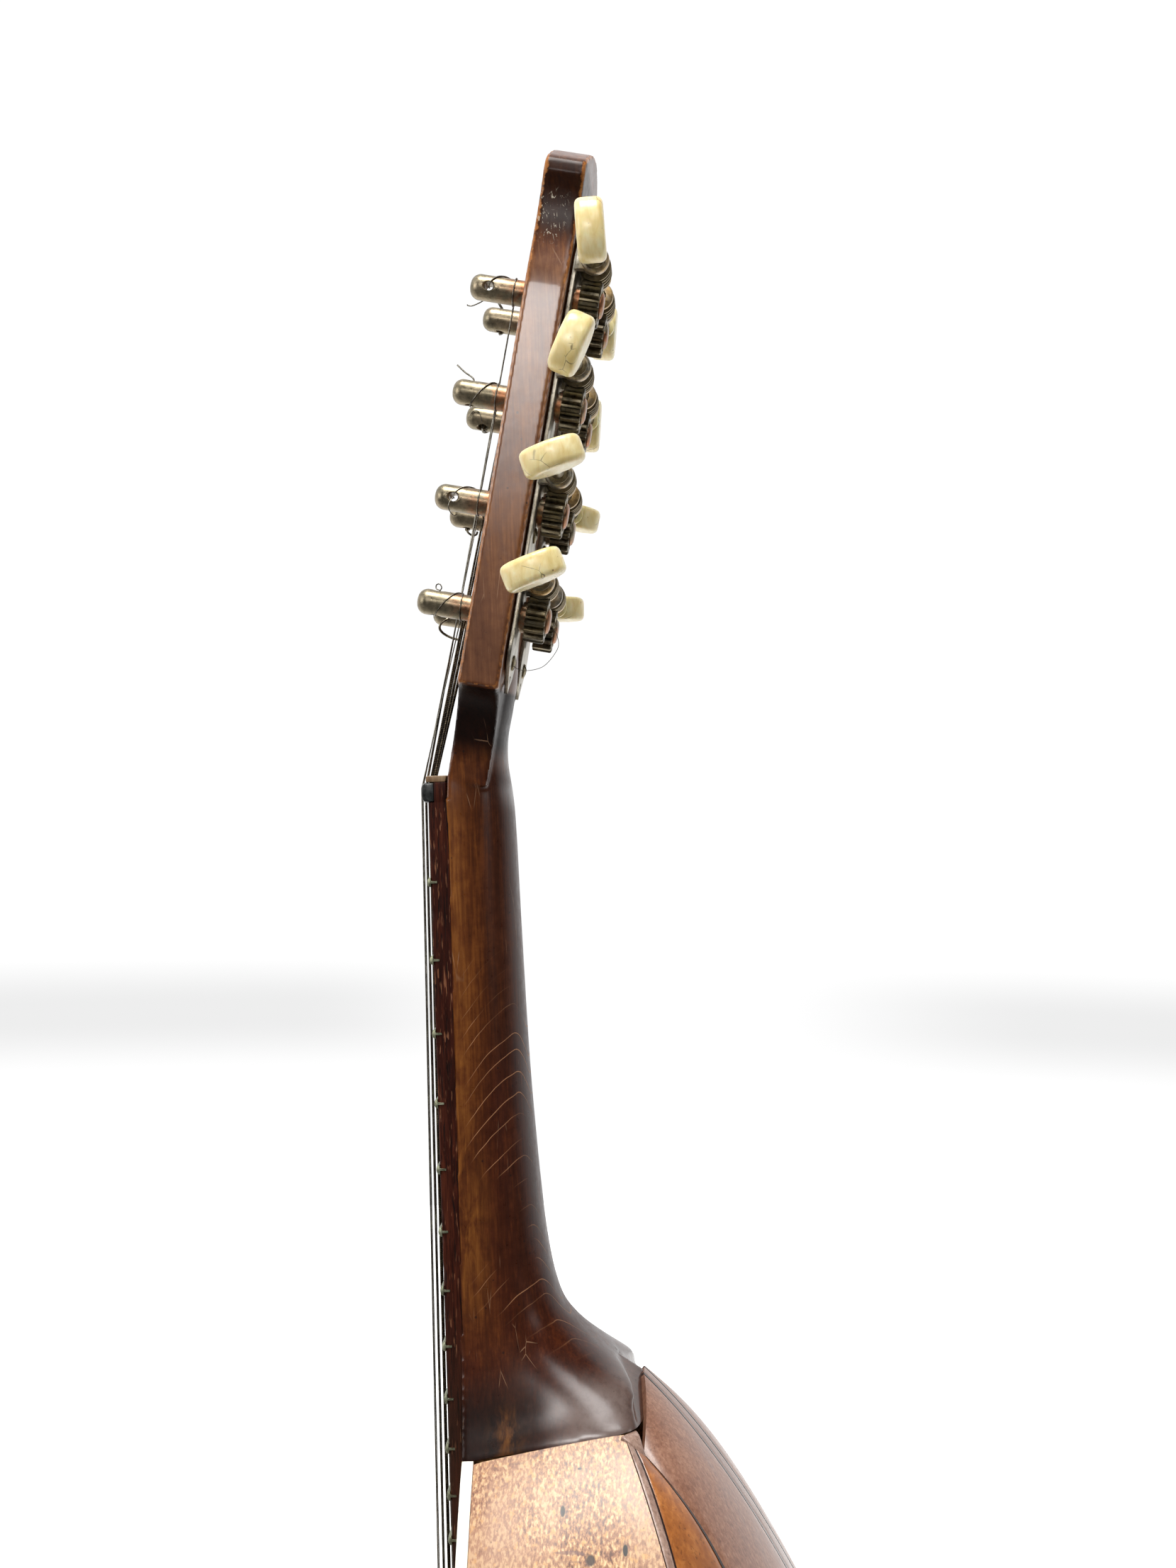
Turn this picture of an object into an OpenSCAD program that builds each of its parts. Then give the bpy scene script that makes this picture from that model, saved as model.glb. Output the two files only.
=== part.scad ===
// Bowl-back mandolin built from separate pieces: neck, bowl of ribs,
// soundboard, fingerboard, bridge, tailpiece and eight worm-geared tuners.
// Frame: +Z toward the head, -Y is the playing face, +X is the treble side.
// The origin is the hanger yoke point, on the neck's front face just above the nut.

/* [Scale] */
// Speaking length from nut to bridge
scale_len = 330; // [320:1:340]
// Number of frets on the fingerboard
fret_count = 17; // [12:1:19]

/* [Neck and head] */
// Half width of the neck at the nut
neck_hw = 14.5; // [13:0.5:16]
// Half width of the neck at the body joint
heel_hw = 23.4; // [22:0.1:24]
// Backward pitch of the head, degrees
head_pitch = 11.4; // [9:0.1:13]
// Thickness of the head
head_t = 9.2; // [8:0.1:10]
// Half width of the head
head_hw = 26; // [25.5:0.5:28]
// Drop from the yoke point to the nut
yoke_drop = 14; // [10:1:20]

/* [Fingerboard] */
// Thickness at the nut
fb_t0 = 4; // [3.6:0.1:4.5]
// Thickness at the lower end
fb_t1 = 3.2; // [3:0.1:3.6]
// Height of a fret above the board
fret_h = 0.9; // [0.7:0.1:1]

/* [Bowl] */
// Half width of the bowl at its widest
bowl_hw = 97; // [92:1:100]
// Depth of the bowl at its deepest
bowl_d = 125; // [118:1:130]
// Thickness of the ribs
rib_t = 1.8; // [1.5:0.1:2.2]
// Thickness of the soundboard
top_t = 2.2; // [1.8:0.1:2.4]
// Angle of the bend behind the bridge, degrees
cant = 6.5; // [5:0.5:8]

/* [Tuners] */
// Distance between neighbouring posts along the head
post_pitch = 23.85; // [23:0.05:24.5]
// Distance of a row of posts from the centre line
post_x = 14.6; // [14:0.1:15]
// Radius of a post
post_r = 2.9; // [2.7:0.05:3]
// Number of teeth on each gear
teeth = 14; // [14:1:14]
// Radius of a worm shaft
shaft_r = 1.5; // [1.4:0.05:1.6]
// Length of a button across the shaft
button_l = 14.6; // [13:0.1:16]

/* [Hidden] */
$fn = 48;

head_z = 3.1;            // the head's front plane leaves the neck plane here
post_s0 = 40.15;         // lowest post, measured up the head
run = 0.08;              // radial running clearance of shafts
worm_up = 7.9;           // worm axis above its post axis
worm_d = 14.1;           // worm axis behind the head's front plane
gear_tip = 5.2; gear_root = 3.9; gear_pitch_r = 4.7; gear_w = 4.6;
lead = 2 * PI * gear_pitch_r / teeth;
worm_tip = 3.6; worm_core = 2.3;
pad_t = 0.4;             // raised bed for the side plates on the head's back
plate_t = 0.8; plate_d = head_t + pad_t + 0.05;
t_joint = 146;           // neck joint, below the nut
t_wide = 345;            // widest station
t_tail = 446;            // tail end
t_rib = 442.5;           // where the ribs stop under the end clasp
t_cant = 337;            // bend line of the soundboard
bind_h = 2.6; bind_w = 2;
tilt = 0.15;             // slope of the joint plane

// Tuner i = 1..8: 1 to 4 run down the treble side from the tip, 5 to 8 down the bass side.
function side(i) = i <= 4 ? 1 : -1;
function row(i) = (i - 1) % 4;
function post_s(i) = post_s0 + (3 - row(i)) * post_pitch;
// Resting turn of each button and each string hole, degrees
function button_turn(i) = [14, -14, 119, 121, 10, 12, 88, 100][i - 1];
function hole_turn(i) = [0, 90, 0, 90, 90, 60, 90, 0][i - 1];
function sgn(v) = v < 0 ? -1 : 1;

module place() { translate([0, 0, -yoke_drop]) children(); }
module headframe() { translate([0, 0, head_z]) rotate([-head_pitch, 0, 0]) children(); }
// Extrude a profile drawn in X and Z along +Y, from y0 for a length h
module along_y(y0, h) { translate([0, y0 + h, 0]) rotate([90, 0, 0]) linear_extrude(h) children(); }
// Extrude a profile drawn in Y and Z along X, centred
module along_x(w) { rotate([90, 0, 90]) translate([0, 0, -w / 2]) linear_extrude(w) children(); }
module seg(a, b, r, n = 16) {
  v = b - a; l = norm(v);
  translate(a) rotate([0, acos(v[2] / l), atan2(v[1], v[0])]) cylinder(h = l, r = r, $fn = n);
}
function mirror_x(p) = [for (i = [len(p) - 1:-1:0]) [-p[i][0], p[i][1]]];

// ---------- neck and head ----------
// Stations: height at the front face, half width, depth, squareness, slope, front offset
neck_st = [
  [46, 4, 17.2, 2, 0, 8.6], [40, 6.5, 16.9, 2, 0, 7.4], [34, 9, 16.3, 2, 0, 6.2], [27, 12, 15.8, 2.2, 0, 4.8],
  [20, 13.6, 14.5, 2.4, 0, 3.4], [14, 14, 13.2, 2.6, 0, 2.2], [8, 14, 13.0, 2.6, 0, 1],
  [0, 14.5, 14.0, 2.5, 0.00, 0], [-9, 14.7, 14.5, 2.4, 0, 0], [-30, 15.2, 15.0, 2.3, 0, 0],
  [-60, 15.9, 15.9, 2.3, 0, 0], [-80, 16.4, 17.0, 2.3, 0, 0], [-95, 16.8, 18.1, 2.4, 0, 0],
  [-104, 17.0, 19.1, 2.4, 0.01, 0], [-111.5, 17.2, 20.4, 2.5, 0.02, 0], [-117.8, 17.4, 22.4, 2.6, 0.03, 0],
  [-122.6, 17.8, 25.8, 2.8, 0.05, 0], [-127.1, 18.4, 29.9, 3.2, 0.08, 0], [-131.7, 19.3, 34.4, 3.8, 0.10, 0],
  [-137.8, 20.6, 39.7, 4.6, 0.12, 0], [-141.8, 21.8, 40.0, 6, 0.14, 0], [-t_joint, heel_hw, 40.2, 9, tilt, 0]];
neck_m = 20;
function neck_pt(st, j) = let (a = 180 * j / neck_m, c = cos(a), s = sin(a),
    x = st[1] * sgn(c) * pow(abs(c), 2 / st[3]), y = st[5] + (st[2] - st[5]) * pow(max(s, 0), 2 / st[3]))
    [x, y, st[0] + st[4] * y];
module loft(rows) {
  m = len(rows[0]); n = len(rows);
  polyhedron(points = [for (r = rows) for (p = r) p],
    faces = concat(
      [for (i = [0:n - 2]) for (j = [0:m - 1]) let (k = (j + 1) % m) each
        [[i * m + j, i * m + k, (i + 1) * m + k], [i * m + j, (i + 1) * m + k, (i + 1) * m + j]]],
      [[for (j = [m - 1:-1:0]) j]], [[for (j = [0:m - 1]) (n - 1) * m + j]]), convexity = 6);
}
head_half = [[14.2, 1.2], [14.5, 8], [15.8, 13.5], [18.4, 18.3], [22, 21.6], [head_hw, 23.1], [head_hw, 112], [head_hw - 0.3, 115.5],
  [25.1, 119], [24.6, 122.6], [24.4, 126], [24.5, 129.6], [24.9, 133], [25.6, 135.4], [head_hw, 136.6], [25.8, 138.4], [24.9, 140],
  [22, 141.6], [16, 144.2], [8, 146.7], [0, 147.6]];
module neck() { color([0.42, 0.2, 0.09]) place() {
  difference() {
    union() {
      headframe() along_y(0, head_t) polygon(concat(head_half, mirror_x(head_half)));
      headframe() along_y(head_t - 0.5, pad_t + 0.5) polygon([[-20.5, 25], [20.5, 25], [20.5, 120], [17.5, 126.5], [-17.5, 126.5], [-20.5, 120]]);
      loft([for (st = neck_st) [for (j = [0:neck_m]) neck_pt(st, j)]]);
    }
    headframe() for (i = [1:8]) translate([side(i) * post_x, -1, post_s(i)]) rotate([-90, 0, 0]) cylinder(h = head_t + 2, r = post_r + run);
    headframe() for (q = screw_pts) translate([q[0], head_t - 5.2, q[1]]) rotate([-90, 0, 0]) cylinder(h = 6, r = 0.8, $fn = 24);
  }
} }

// ---------- bowl ----------
// Half width and depth of the bowl at a distance t below the nut
function w_of(t) = t < t_wide ? bowl_hw * pow(1 - pow(1 - (t - 135.5) / (t_wide - 135.5), 2.2), 0.62)
                              : bowl_hw * pow(1 - pow((t - t_wide) / (t_tail - t_wide), 2.4), 0.5);
function d_of(t) = t < t_wide ? bowl_d * pow(1 - pow(1 - (t - 113.8) / (t_wide - 113.8), 1.2115), 0.4955)
                              : bowl_d * pow(1 - pow((t - t_wide) / (t_tail - t_wide), 2.5), 0.5);
function y_top(t) = t > t_cant ? (t - t_cant) * tan(cant) : 0;
// Seams 0 top edge, 1 side rib's lower edge, 2 second seam, 3 edge of the centre rib
seam_t0 = [146, 140.6, 145.2, 133.4];
function seam_t(k, f) = seam_t0[k] + (t_rib - seam_t0[k]) * f;
function seam_a(k, t) = k == 0 ? 1 :
    k == 1 ? 0.94 + 0.02 * exp(-(t - 145) / 60) - 0.03 * exp(-(t - 140.6) / 6) :
    0.64 + 0.33 * exp(-(t - 145) / 17) - 0.045 * exp(-(t - 145) / 3);
function seam_b(k, t) = k == 1 ? 0.50 + 0.265 * exp(-(t - 140.6) / 110) :
    0.816 + 0.10 * exp(-(t - 145) / 60) - 0.13 * exp(-(t - 145) / 8);
function seam(k, f) = let (t = seam_t(k, f), w = w_of(seam_t(0, f)), d = d_of(t), y0 = y_top(t))
    k == 0 ? [w, y0 + bind_h + 0.04, -t] :
    k == 3 ? [2.6 + 2.6 * (1 - exp(-(t - 133) / 40)), d, -t] :
    [w * seam_a(k, t), y0 + (d - y0) * seam_b(k, t), -t];
function unit(v) = v / norm(v);
// Outward normal at a seam, averaged across its two ribs
function seam_n(k, f) = let (e = 0.004, f0 = max(0, f - e), f1 = min(1, f + e),
    tf = seam(k, f1) - seam(k, f0),
    ts = k == 0 ? seam(1, f) - seam(0, f) : k == 3 ? let (q = seam(3, f)) [-2 * q[0], 0, 0] + 0.6 * unit(seam(3, f) - seam(2, f)) * norm(q) : seam(k + 1, f) - seam(k - 1, f))
    unit(cross(tf, ts));
rib_n = 24;
function rib_f(i) = (1 - cos(180 * i / rib_n)) / 2;
// Point across a rib between two seams, 0..1, crowned outward; inner = rib thickness
function rib_pt(k, f, s, th, crown) = let (a = seam(k, f), b = seam(k + 1, f), na = seam_n(k, f), nb = seam_n(k + 1, f),
    n = unit(na + nb), c = crown * norm(b - a) * 4 * s * (1 - s))
    (a - na * th) * (1 - s) + (b - nb * th) * s + n * c;
// Keeps a point below the binding's underside
function under(p) = [p[0], max(p[1], y_top(-p[2]) + bind_h + 0.05), p[2]];
module rib(k, m, crown) {
  rows = [for (i = [0:rib_n]) let (f = rib_f(i))
    concat([for (j = [0:m]) under(rib_pt(k, f, j / m, 0, crown))], [for (j = [m:-1:0]) under(rib_pt(k, f, j / m, rib_t, crown))])];
  loft(rows);
}
module centre_strip() {
  rows = [for (i = [0:rib_n]) let (f = rib_f(i), p = seam(3, f), q = p - seam_n(3, f) * rib_t)
    [p, [-p[0], p[1], p[2]], [-q[0], q[1], q[2]], q]];
  loft(rows);
}
module side_rib_treble() { color([0.78, 0.62, 0.47]) place() rib(0, 3, 0.012); }
module side_rib_bass() { color([0.78, 0.62, 0.47]) place() mirror([1, 0, 0]) rib(0, 3, 0.012); }
module second_rib_treble() { color([0.62, 0.36, 0.16]) place() rib(1, 3, 0.045); }
module second_rib_bass() { color([0.62, 0.36, 0.16]) place() mirror([1, 0, 0]) rib(1, 3, 0.045); }
module third_rib_treble() { color([0.58, 0.42, 0.36]) place() rib(2, 4, 0.055); }
module third_rib_bass() { color([0.58, 0.42, 0.36]) place() mirror([1, 0, 0]) rib(2, 4, 0.055); }
module centre_rib() { color([0.6, 0.45, 0.38]) place() centre_strip(); }

// ---------- top outline ----------
top_n = 26;
function top_f(i) = (1 - cos(180 * i / top_n)) / 2;
function top_t_at(i) = t_joint + (t_tail - 0.4 - t_joint) * top_f(i);
top_pts = [for (i = [0:top_n]) [w_of(top_t_at(i)), top_t_at(i)]];
function inset(p, d) = [for (i = [0:len(p) - 1]) let (a = p[max(0, i - 1)], b = p[min(len(p) - 1, i + 1)], v = unit(b - a))
    [max(0.4, p[i][0] - v[1] * d), p[i][1] + v[0] * d * (i == 0 ? 0 : 1)]];
// Part of the half outline in front of (lo) or behind (hi) the bend line; heights run downward
function clip_lo(p) = concat([for (q = p) if (q[1] < t_cant) q], [[xat(p, t_cant), t_cant]]);
function clip_hi(p) = concat([[xat(p, t_cant), t_cant]], [for (q = p) if (q[1] > t_cant) q]);
function xat(p, t) = lookup(t, [for (q = p) [q[1], q[0]]]);
function both(p) = concat(p, mirror_x(p));
// Slab of the soundboard shape, bent at the bend line, from depth y0 with thickness h
module bent(p, y0, h) {
  along_y(y0, h) polygon([for (q = both(clip_lo(p))) [q[0], -q[1]]]);
  translate([0, 0, -t_cant]) rotate([cant, 0, 0])
    along_y(y0, h) polygon([for (q = both(clip_hi(p))) [q[0], -(q[1] - t_cant) / cos(cant) + (q[1] == t_cant ? 0.4 : 0)]]);
}
module joint_cut() { // keeps only what lies below the sloping joint plane
  along_x(260) polygon([[-20, -t_joint - 20 * tilt], [90, -t_joint + 90 * tilt], [90, -60], [-20, -60]]);
}
hole_t = 241; hole_a = 27; hole_b = 20;
module oval(a, b, n = 56) { polygon([for (i = [0:n - 1]) [a * cos(360 * i / n), b * sin(360 * i / n)]]); }
module sound_hole(grow, y0, h) { translate([0, 0, -hole_t]) along_y(y0, h) oval(hole_a + grow, hole_b + grow); }
module guard_shape() { polygon([[-31, -268], [-33, -274], [-28, -283], [-15, -290], [-6, -299], [0, -304], [6, -299], [15, -290], [28, -283], [33, -274], [31, -268], [18, -270], [0, -271], [-18, -270]]); }
// Two book-matched halves, glued along the centre line
module soundboard() { color([0.8, 0.6, 0.35]) place() difference() {
  bent(inset(top_pts, bind_w), 0, top_t);
  sound_hole(0, -1, 5);
  difference() { sound_hole(6.4, -1, 1.8); sound_hole(2.2, -2, 4); }
  along_y(-1, 1.8) guard_shape();
  translate([-0.01, -5, -500]) cube([0.02, 40, 400]);
  joint_cut();
} }
module binding() { color([0.93, 0.9, 0.84]) place() difference() {
  bent(top_pts, 0, bind_h);
  bent(inset(top_pts, bind_w), -3, 9);
  joint_cut();
} }
module linings() { color([0.75, 0.58, 0.38]) place() difference() {
  bent(inset(top_pts, 3.4), top_t, 4);
  bent(inset(top_pts, 8.4), -3, 12);
  along_y(-5, 30) polygon([[-60, -t_joint - 9], [60, -t_joint - 9], [60, -60], [-60, -60]]);
  along_y(-5, 60) polygon([[-20, -426], [20, -426], [20, -460], [-20, -460]]);
} }
function bar_hw(t) = w_of(t) - 10.8;
module soundboard_bars() { color([0.82, 0.66, 0.42]) place() for (t = [207, 276, 306])
  translate([0, top_t, -t]) along_bar(bar_hw(t) * 2, t == 207 ? 8 : 7); }
module along_bar(w, h) { rotate([90, 0, 0]) translate([0, 0, -h]) linear_extrude(h) square([w, 5.5], center = true); }
module inlays() { color([0.85, 0.86, 0.82]) place() {
  difference() { sound_hole(6.4, 0, 0.8); sound_hole(2.2, -1, 4); }
  for (k = [5, 7, 10, 12]) let (z = -(fret_z(k) + fret_z(k - 1)) / 2, y = fb_y(z)) translate([0, y + 0.01, z]) rotate([-90, 0, 0]) cylinder(h = 0.8, r = k == 12 ? 2.6 : 2.2);
} }
module pickguard() { color([0.14, 0.07, 0.05]) place() along_y(0, 0.8) guard_shape(); }
module end_blocks() { color([0.7, 0.55, 0.36]) place() {
  along_x(37) polygon([[top_t, -t_joint + top_t * tilt], [37, -t_joint + 37 * tilt], [37, -176], [top_t, -168]]);
  difference() {
    along_x(36) polygon([[14, -426], [31, -426], [27, -441.6], [14.6, -441.6]]);
    translate([0, 21, -450]) cylinder(h = 40, r = 2.55);
  }
} }
// End clasp: a cap over the rib ends that runs a little way up each side rib
clasp_n = 14;
function clasp_row(i) = let (t = 404 + (t_rib - 404) * i / clasp_n, f = (t - seam_t0[0]) / (t_rib - seam_t0[0]), u = 0.25 + 0.75 * pow(i / clasp_n, 1.4)) [f, u];
module clasp_side() {
  loft([for (i = [0:clasp_n]) let (r = clasp_row(i)) concat(
    [for (j = [0:4]) rib_pt(0, r[0], r[1] * j / 4, -1.3, 0.012)], [for (j = [4:-1:0]) rib_pt(0, r[0], r[1] * j / 4, -0.35, 0.012)])]);
}
module end_clasp() { color([0.3, 0.13, 0.06]) place() {
  clasp_side();
  mirror([1, 0, 0]) clasp_side();
  difference() {
    along_z_cap();
    translate([0, 21, -460]) cylinder(h = 40, r = 2.6);
    translate([-60, -20, -480]) cube([120, 160, 480 - 446.58]);
  }
} }
function cap_row(f, g, dz) = [for (j = [0:24]) let (a = 1 - j / 12, p = cap_edge(abs(a), f)) [sgn(a) * p[0] * g, (p[1] - 21) * g + 21, p[2] - dz]];
// Outline of the open rib ends: down the side rib, across the second and third ribs
function cap_edge(u, f) = u > 0.66 ? rib_pt(0, f, (1 - u) / 0.34, -0.6, 0.012) : u > 0.33 ? rib_pt(1, f, (0.66 - u) / 0.33, -0.6, 0.04) :
    let (v = (0.33 - u) / 0.33) v < 0.999 ? rib_pt(2, f, v, -0.6, 0.04) : let (p = seam(3, f)) [0, p[1] + 0.6, p[2]];
module along_z_cap() {
  loft([cap_row(1, 1, 0.1), cap_row(1, 0.94, 1.6), cap_row(1, 0.8, 3.0), cap_row(1, 0.55, 4.0)]);
}

// ---------- fingerboard ----------
function fret_z(n) = scale_len * (1 - pow(2, -n / 12));
fb_end = fret_z(fret_count) + 5;
function fb_y(z) = -(fb_t0 + (fb_t1 - fb_t0) * (-z) / fb_end);
function fb_hw(z) = neck_hw + (19.6 - neck_hw) * (-z) / fb_end;
module fb_plan(g) { polygon([[-neck_hw - g, 3.9], [neck_hw + g, 3.9], [19.6 + g, -fb_end], [-19.6 - g, -fb_end]]); }
module fingerboard() { color([0.2, 0.08, 0.05]) place() difference() {
  intersection() {
    along_x(60) polygon([[0, 3.9], [-2.7, 3.9], [-2.7, -0.6], [fb_y(0), -0.6], [fb_y(-fb_end), -fb_end], [0, -fb_end]]);
    along_y(-10, 12) fb_plan(0);
  }
  for (k = [1:fret_count]) along_x(60) fret_slot(-fret_z(k), 0.27);
  for (k = [5, 7, 10, 12]) let (z = -(fret_z(k) + fret_z(k - 1)) / 2) translate([0, fb_y(z) - 1, z]) rotate([-90, 0, 0]) cylinder(h = 1.81, r = k == 12 ? 2.6 : 2.2);
} }
module fret_slot(z, hw) { polygon([[fb_y(z) - 1, z - hw], [fb_y(z) - 1, z + hw], [fb_y(z) + 1.5, z + hw], [fb_y(z) + 1.5, z - hw]]); }
module frets() { color([0.5, 0.5, 0.42]) place() for (k = [1:fret_count]) let (z = -fret_z(k), w = 2 * fb_hw(z) + 0.5) {
  along_x(w) polygon([[fb_y(z) + 1.4, z - 0.24], [fb_y(z) + 1.4, z + 0.24], [fb_y(z) - 0.1, z + 0.24], [fb_y(z) - 0.1, z - 0.24]]);
  translate([0, fb_y(z) - 0.015, z]) along_x(w) polygon([for (a = [0:15:180]) [-fret_h * sin(a), 1.05 * cos(a)]]);
} }
module nut() { color([0.07, 0.06, 0.06]) place() intersection() {
  along_x(60) polygon([[-2.7, -0.6], [-2.7, 3.9], [-5.1, 3.9], [-5.5, 3.3], [-5.6, 2.4], [-5.6, 0.4], [-5.3, -0.3], [-4.9, -0.6]]);
  along_y(-10, 12) polygon([[-neck_hw, 5], [neck_hw, 5], [neck_hw, -2], [-neck_hw, -2]]);
} }
module nut_strip() { color([0.85, 0.8, 0.66]) place() along_x(2 * neck_hw - 1) polygon([[-0.1, 3.95], [-4.3, 3.95], [-4.5, 4.3], [-4.4, 5.3], [-0.1 + 0.3, 5.4]]); }

// ---------- bridge, strings, tailpiece ----------
bridge_y = -8.1;         // string height at the bridge
module bridge() { color([0.12, 0.06, 0.04]) place() difference() {
  translate([0, 0, -scale_len]) union() {
    along_x(46) polygon([[0, -4.5], [0, 4.5], [-1.5, 4.5], [-5.6, 2.2], [-5.6, -2.2], [-1.5, -4.5]]);
    for (m = [0, 1]) mirror([m, 0, 0]) intersection() {
      along_x(112) polygon([[0, -4.5], [0, 4.5], [-1.4, 4.5], [-4.4, 2.2], [-4.4, -2.2], [-1.4, -4.5]]);
      rotate([0, 0, 0]) linear_extrude(20, center = true) polygon([[22, 1], [22, -6], [28, -3.6], [40, -2.8], [50, -2.6], [55, -1.4], [55, 1]]);
      translate([0, 0, 0]) along_y(-8, 8) polygon([[20, -5], [50, -5], [55, -3], [55, 3], [50, 5], [20, 5]]);
    }
  }
  translate([0, 0, -scale_len]) along_x(42.1) polygon([[-6, -0.85], [-3.4, -0.85], [-3.4, 0.85], [-6, 0.85]]);
} }
module saddle() { color([0.9, 0.86, 0.74]) place() translate([0, 0, -scale_len]) along_x(42) polygon([[-3.4, -0.85], [-3.4, 0.85], [-7.2, 0.85], [bridge_y + 0.1, 0.35], [bridge_y + 0.1, -0.35], [-7.2, -0.85]]); }
string_r = [0.14, 0.14, 0.19, 0.19, 0.33, 0.33, 0.45, 0.45];
function nut_x(i) = [11.6, 9.6, 4.8, 2.9, -2.7, -4.9, -9.4, -11.6][i];
function saddle_x(i) = [19.4, 17.0, 7.6, 5.2, -5.0, -7.6, -16.8, -19.4][i];
function tail_x(i) = [13.4, 11.2, 5.2, 3.2, -3.2, -5.2, -11.2, -13.4][i];
// Post that each string runs to: outer courses to the two lower posts, inner to the upper two
function string_post(i) = [4, 3, 2, 1, 5, 6, 7, 8][i];
function hd(x, s, d) = [x, s * sin(head_pitch) + d * cos(head_pitch), head_z + s * cos(head_pitch) - d * sin(head_pitch)];
hook_y = 8.0;
module strings() { color([0.75, 0.72, 0.66]) place() for (i = [0:7]) let (r = string_r[i], p = string_post(i), ps = post_s(p),
    a = hd(side(p) * (post_x - post_r - r - 0.35), ps - 1.2, -3.2),
    n1 = [nut_x(i), -5.62 - r, 2.4], n0 = [nut_x(i), -5.62 - r, 0.2],
    b = [saddle_x(i), bridge_y + 0.08 - r, -scale_len], c = [tail_x(i), hook_y - 0.15, -422.6])
  loft([for (q = [a, n1, n0, b, c]) [for (k = [0:7]) [q[0] + r * cos(45 * k), q[1] + r * sin(45 * k), q[2]]]]);
}
module tailpiece() { color([0.62, 0.6, 0.55]) place() {
  translate([0, 0, -t_cant]) rotate([cant, 0, 0]) difference() {
    union() {
      along_y(-0.95, 0.9) polygon([[-17, -84], [17, -84], [17, -108.6], [-17, -108.6]]);
      along_x(34) polygon([[-0.95, -108.5], [-0.05, -108.5], [-0.05, -112.5], [-0.95, -113.4]]);
      for (i = [0:7]) translate([tail_x(i), -3.4, -87.2]) rotate([-90, 0, 0]) cylinder(h = 2.6, r = 0.7, $fn = 24);
    }
    for (x = [-11, 11]) translate([x, -3, -100]) rotate([-90, 0, 0]) cylinder(h = 6, r = 1.4);
  }
  translate([0, 0, -t_cant]) rotate([cant, 0, 0]) difference() {
    along_x(34) polygon([[-0.95, -112.8], [-0.95, -113.4], [15, -113.4], [15, -112.8]]);
    translate([0, 9, -120]) cylinder(h = 20, r = 5);
  }
} }
btn = [0, 21, -446.7];
module strap_button() { color([0.1, 0.07, 0.06]) place() translate(btn) {
  translate([0, 0, 0]) cylinder(h = 18, r = 2.5);
  translate([0, 0, -3.9]) cylinder(h = 4, r = 3.2);
  translate([0, 0, -6.8]) cylinder(h = 3, r = 5);
  translate([0, 0, -8.2]) cylinder(h = 1.45, r1 = 3.4, r2 = 5);
} }

// ---------- tuners ----------
// Half of a side plate's outline, with a flared end toward the nut
plate_pts = [[22.4, 29.6], [23.2, 33], [22.6, 36.5], [22.6, 119.6], [20.8, 124], [18.4, 127.2], [12.4, 127.2], [10, 124], [8.4, 119.6], [8.2, 36.5], [7.2, 32], [9.2, 26.8], [13.4, 24.2], [15.4, 22.6], [17.6, 24.6]];
screw_pts = [for (sx = [-1, 1]) for (q = [[15.4, 29.6], [15.4, 58.5], [15.4, 106.2], [15.4, 125.2]]) [sx * q[0], q[1]]];
module plate() {
  difference() {
    union() {
      along_y(plate_d, plate_t) polygon(plate_pts);
      for (r = [0:3]) translate([0, 0, post_s0 + r * post_pitch + worm_up]) { lug(7.4, 1.6); lug(21.0, 2.8); }
    }
    for (r = [0:3]) translate([post_x, 0, post_s0 + r * post_pitch]) rotate([-90, 0, 0]) cylinder(h = 30, r = post_r + run);
    for (r = [0:3]) translate([0, worm_d, post_s0 + r * post_pitch + worm_up]) rotate([0, 90, 0]) cylinder(h = 40, r = shaft_r + run);
    for (q = screw_pts) if (q[0] > 0) translate([q[0], 0, q[1]]) rotate([-90, 0, 0]) cylinder(h = 30, r = 1.1, $fn = 24);
    along_y(5, 10) polygon([[14.2, 26.6], [16.6, 26.6], [15.4, 24.6]]);
  }
}
module lug(x, w) {
  translate([x, worm_d, 0]) rotate([0, 90, 0]) cylinder(h = w, r = 3.3);
  translate([x, plate_d + 0.3, -2.6]) cube([w, worm_d - plate_d, 5.2]);
}
module tuner_plate_treble() { color([0.5, 0.48, 0.38]) place() headframe() plate(); }
module tuner_plate_bass() { color([0.5, 0.48, 0.38]) place() headframe() mirror([1, 0, 0]) plate(); }
module plate_screws() { color([0.55, 0.52, 0.42]) place() {
  headframe() for (q = screw_pts) translate([q[0], 0, q[1]]) rotate([-90, 0, 0]) {
    translate([0, 0, head_t - 5]) cylinder(h = 6.4, r = 0.8, $fn = 24);
    difference() {
      translate([0, 0, plate_d + plate_t]) cylinder(h = 0.9, r1 = 1.9, r2 = 1.3);
      translate([-2, -0.2, plate_d + plate_t + 0.5]) cube([4, 0.4, 1]);
    }
  }
  translate([0, 0, -t_cant]) rotate([cant, 0, 0]) for (x = [-11, 11]) translate([x, 0, -100]) rotate([-90, 0, 0])
    translate([0, 0, -1.85]) cylinder(h = 0.88, r1 = 1.3, r2 = 2.2);
} }
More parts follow.
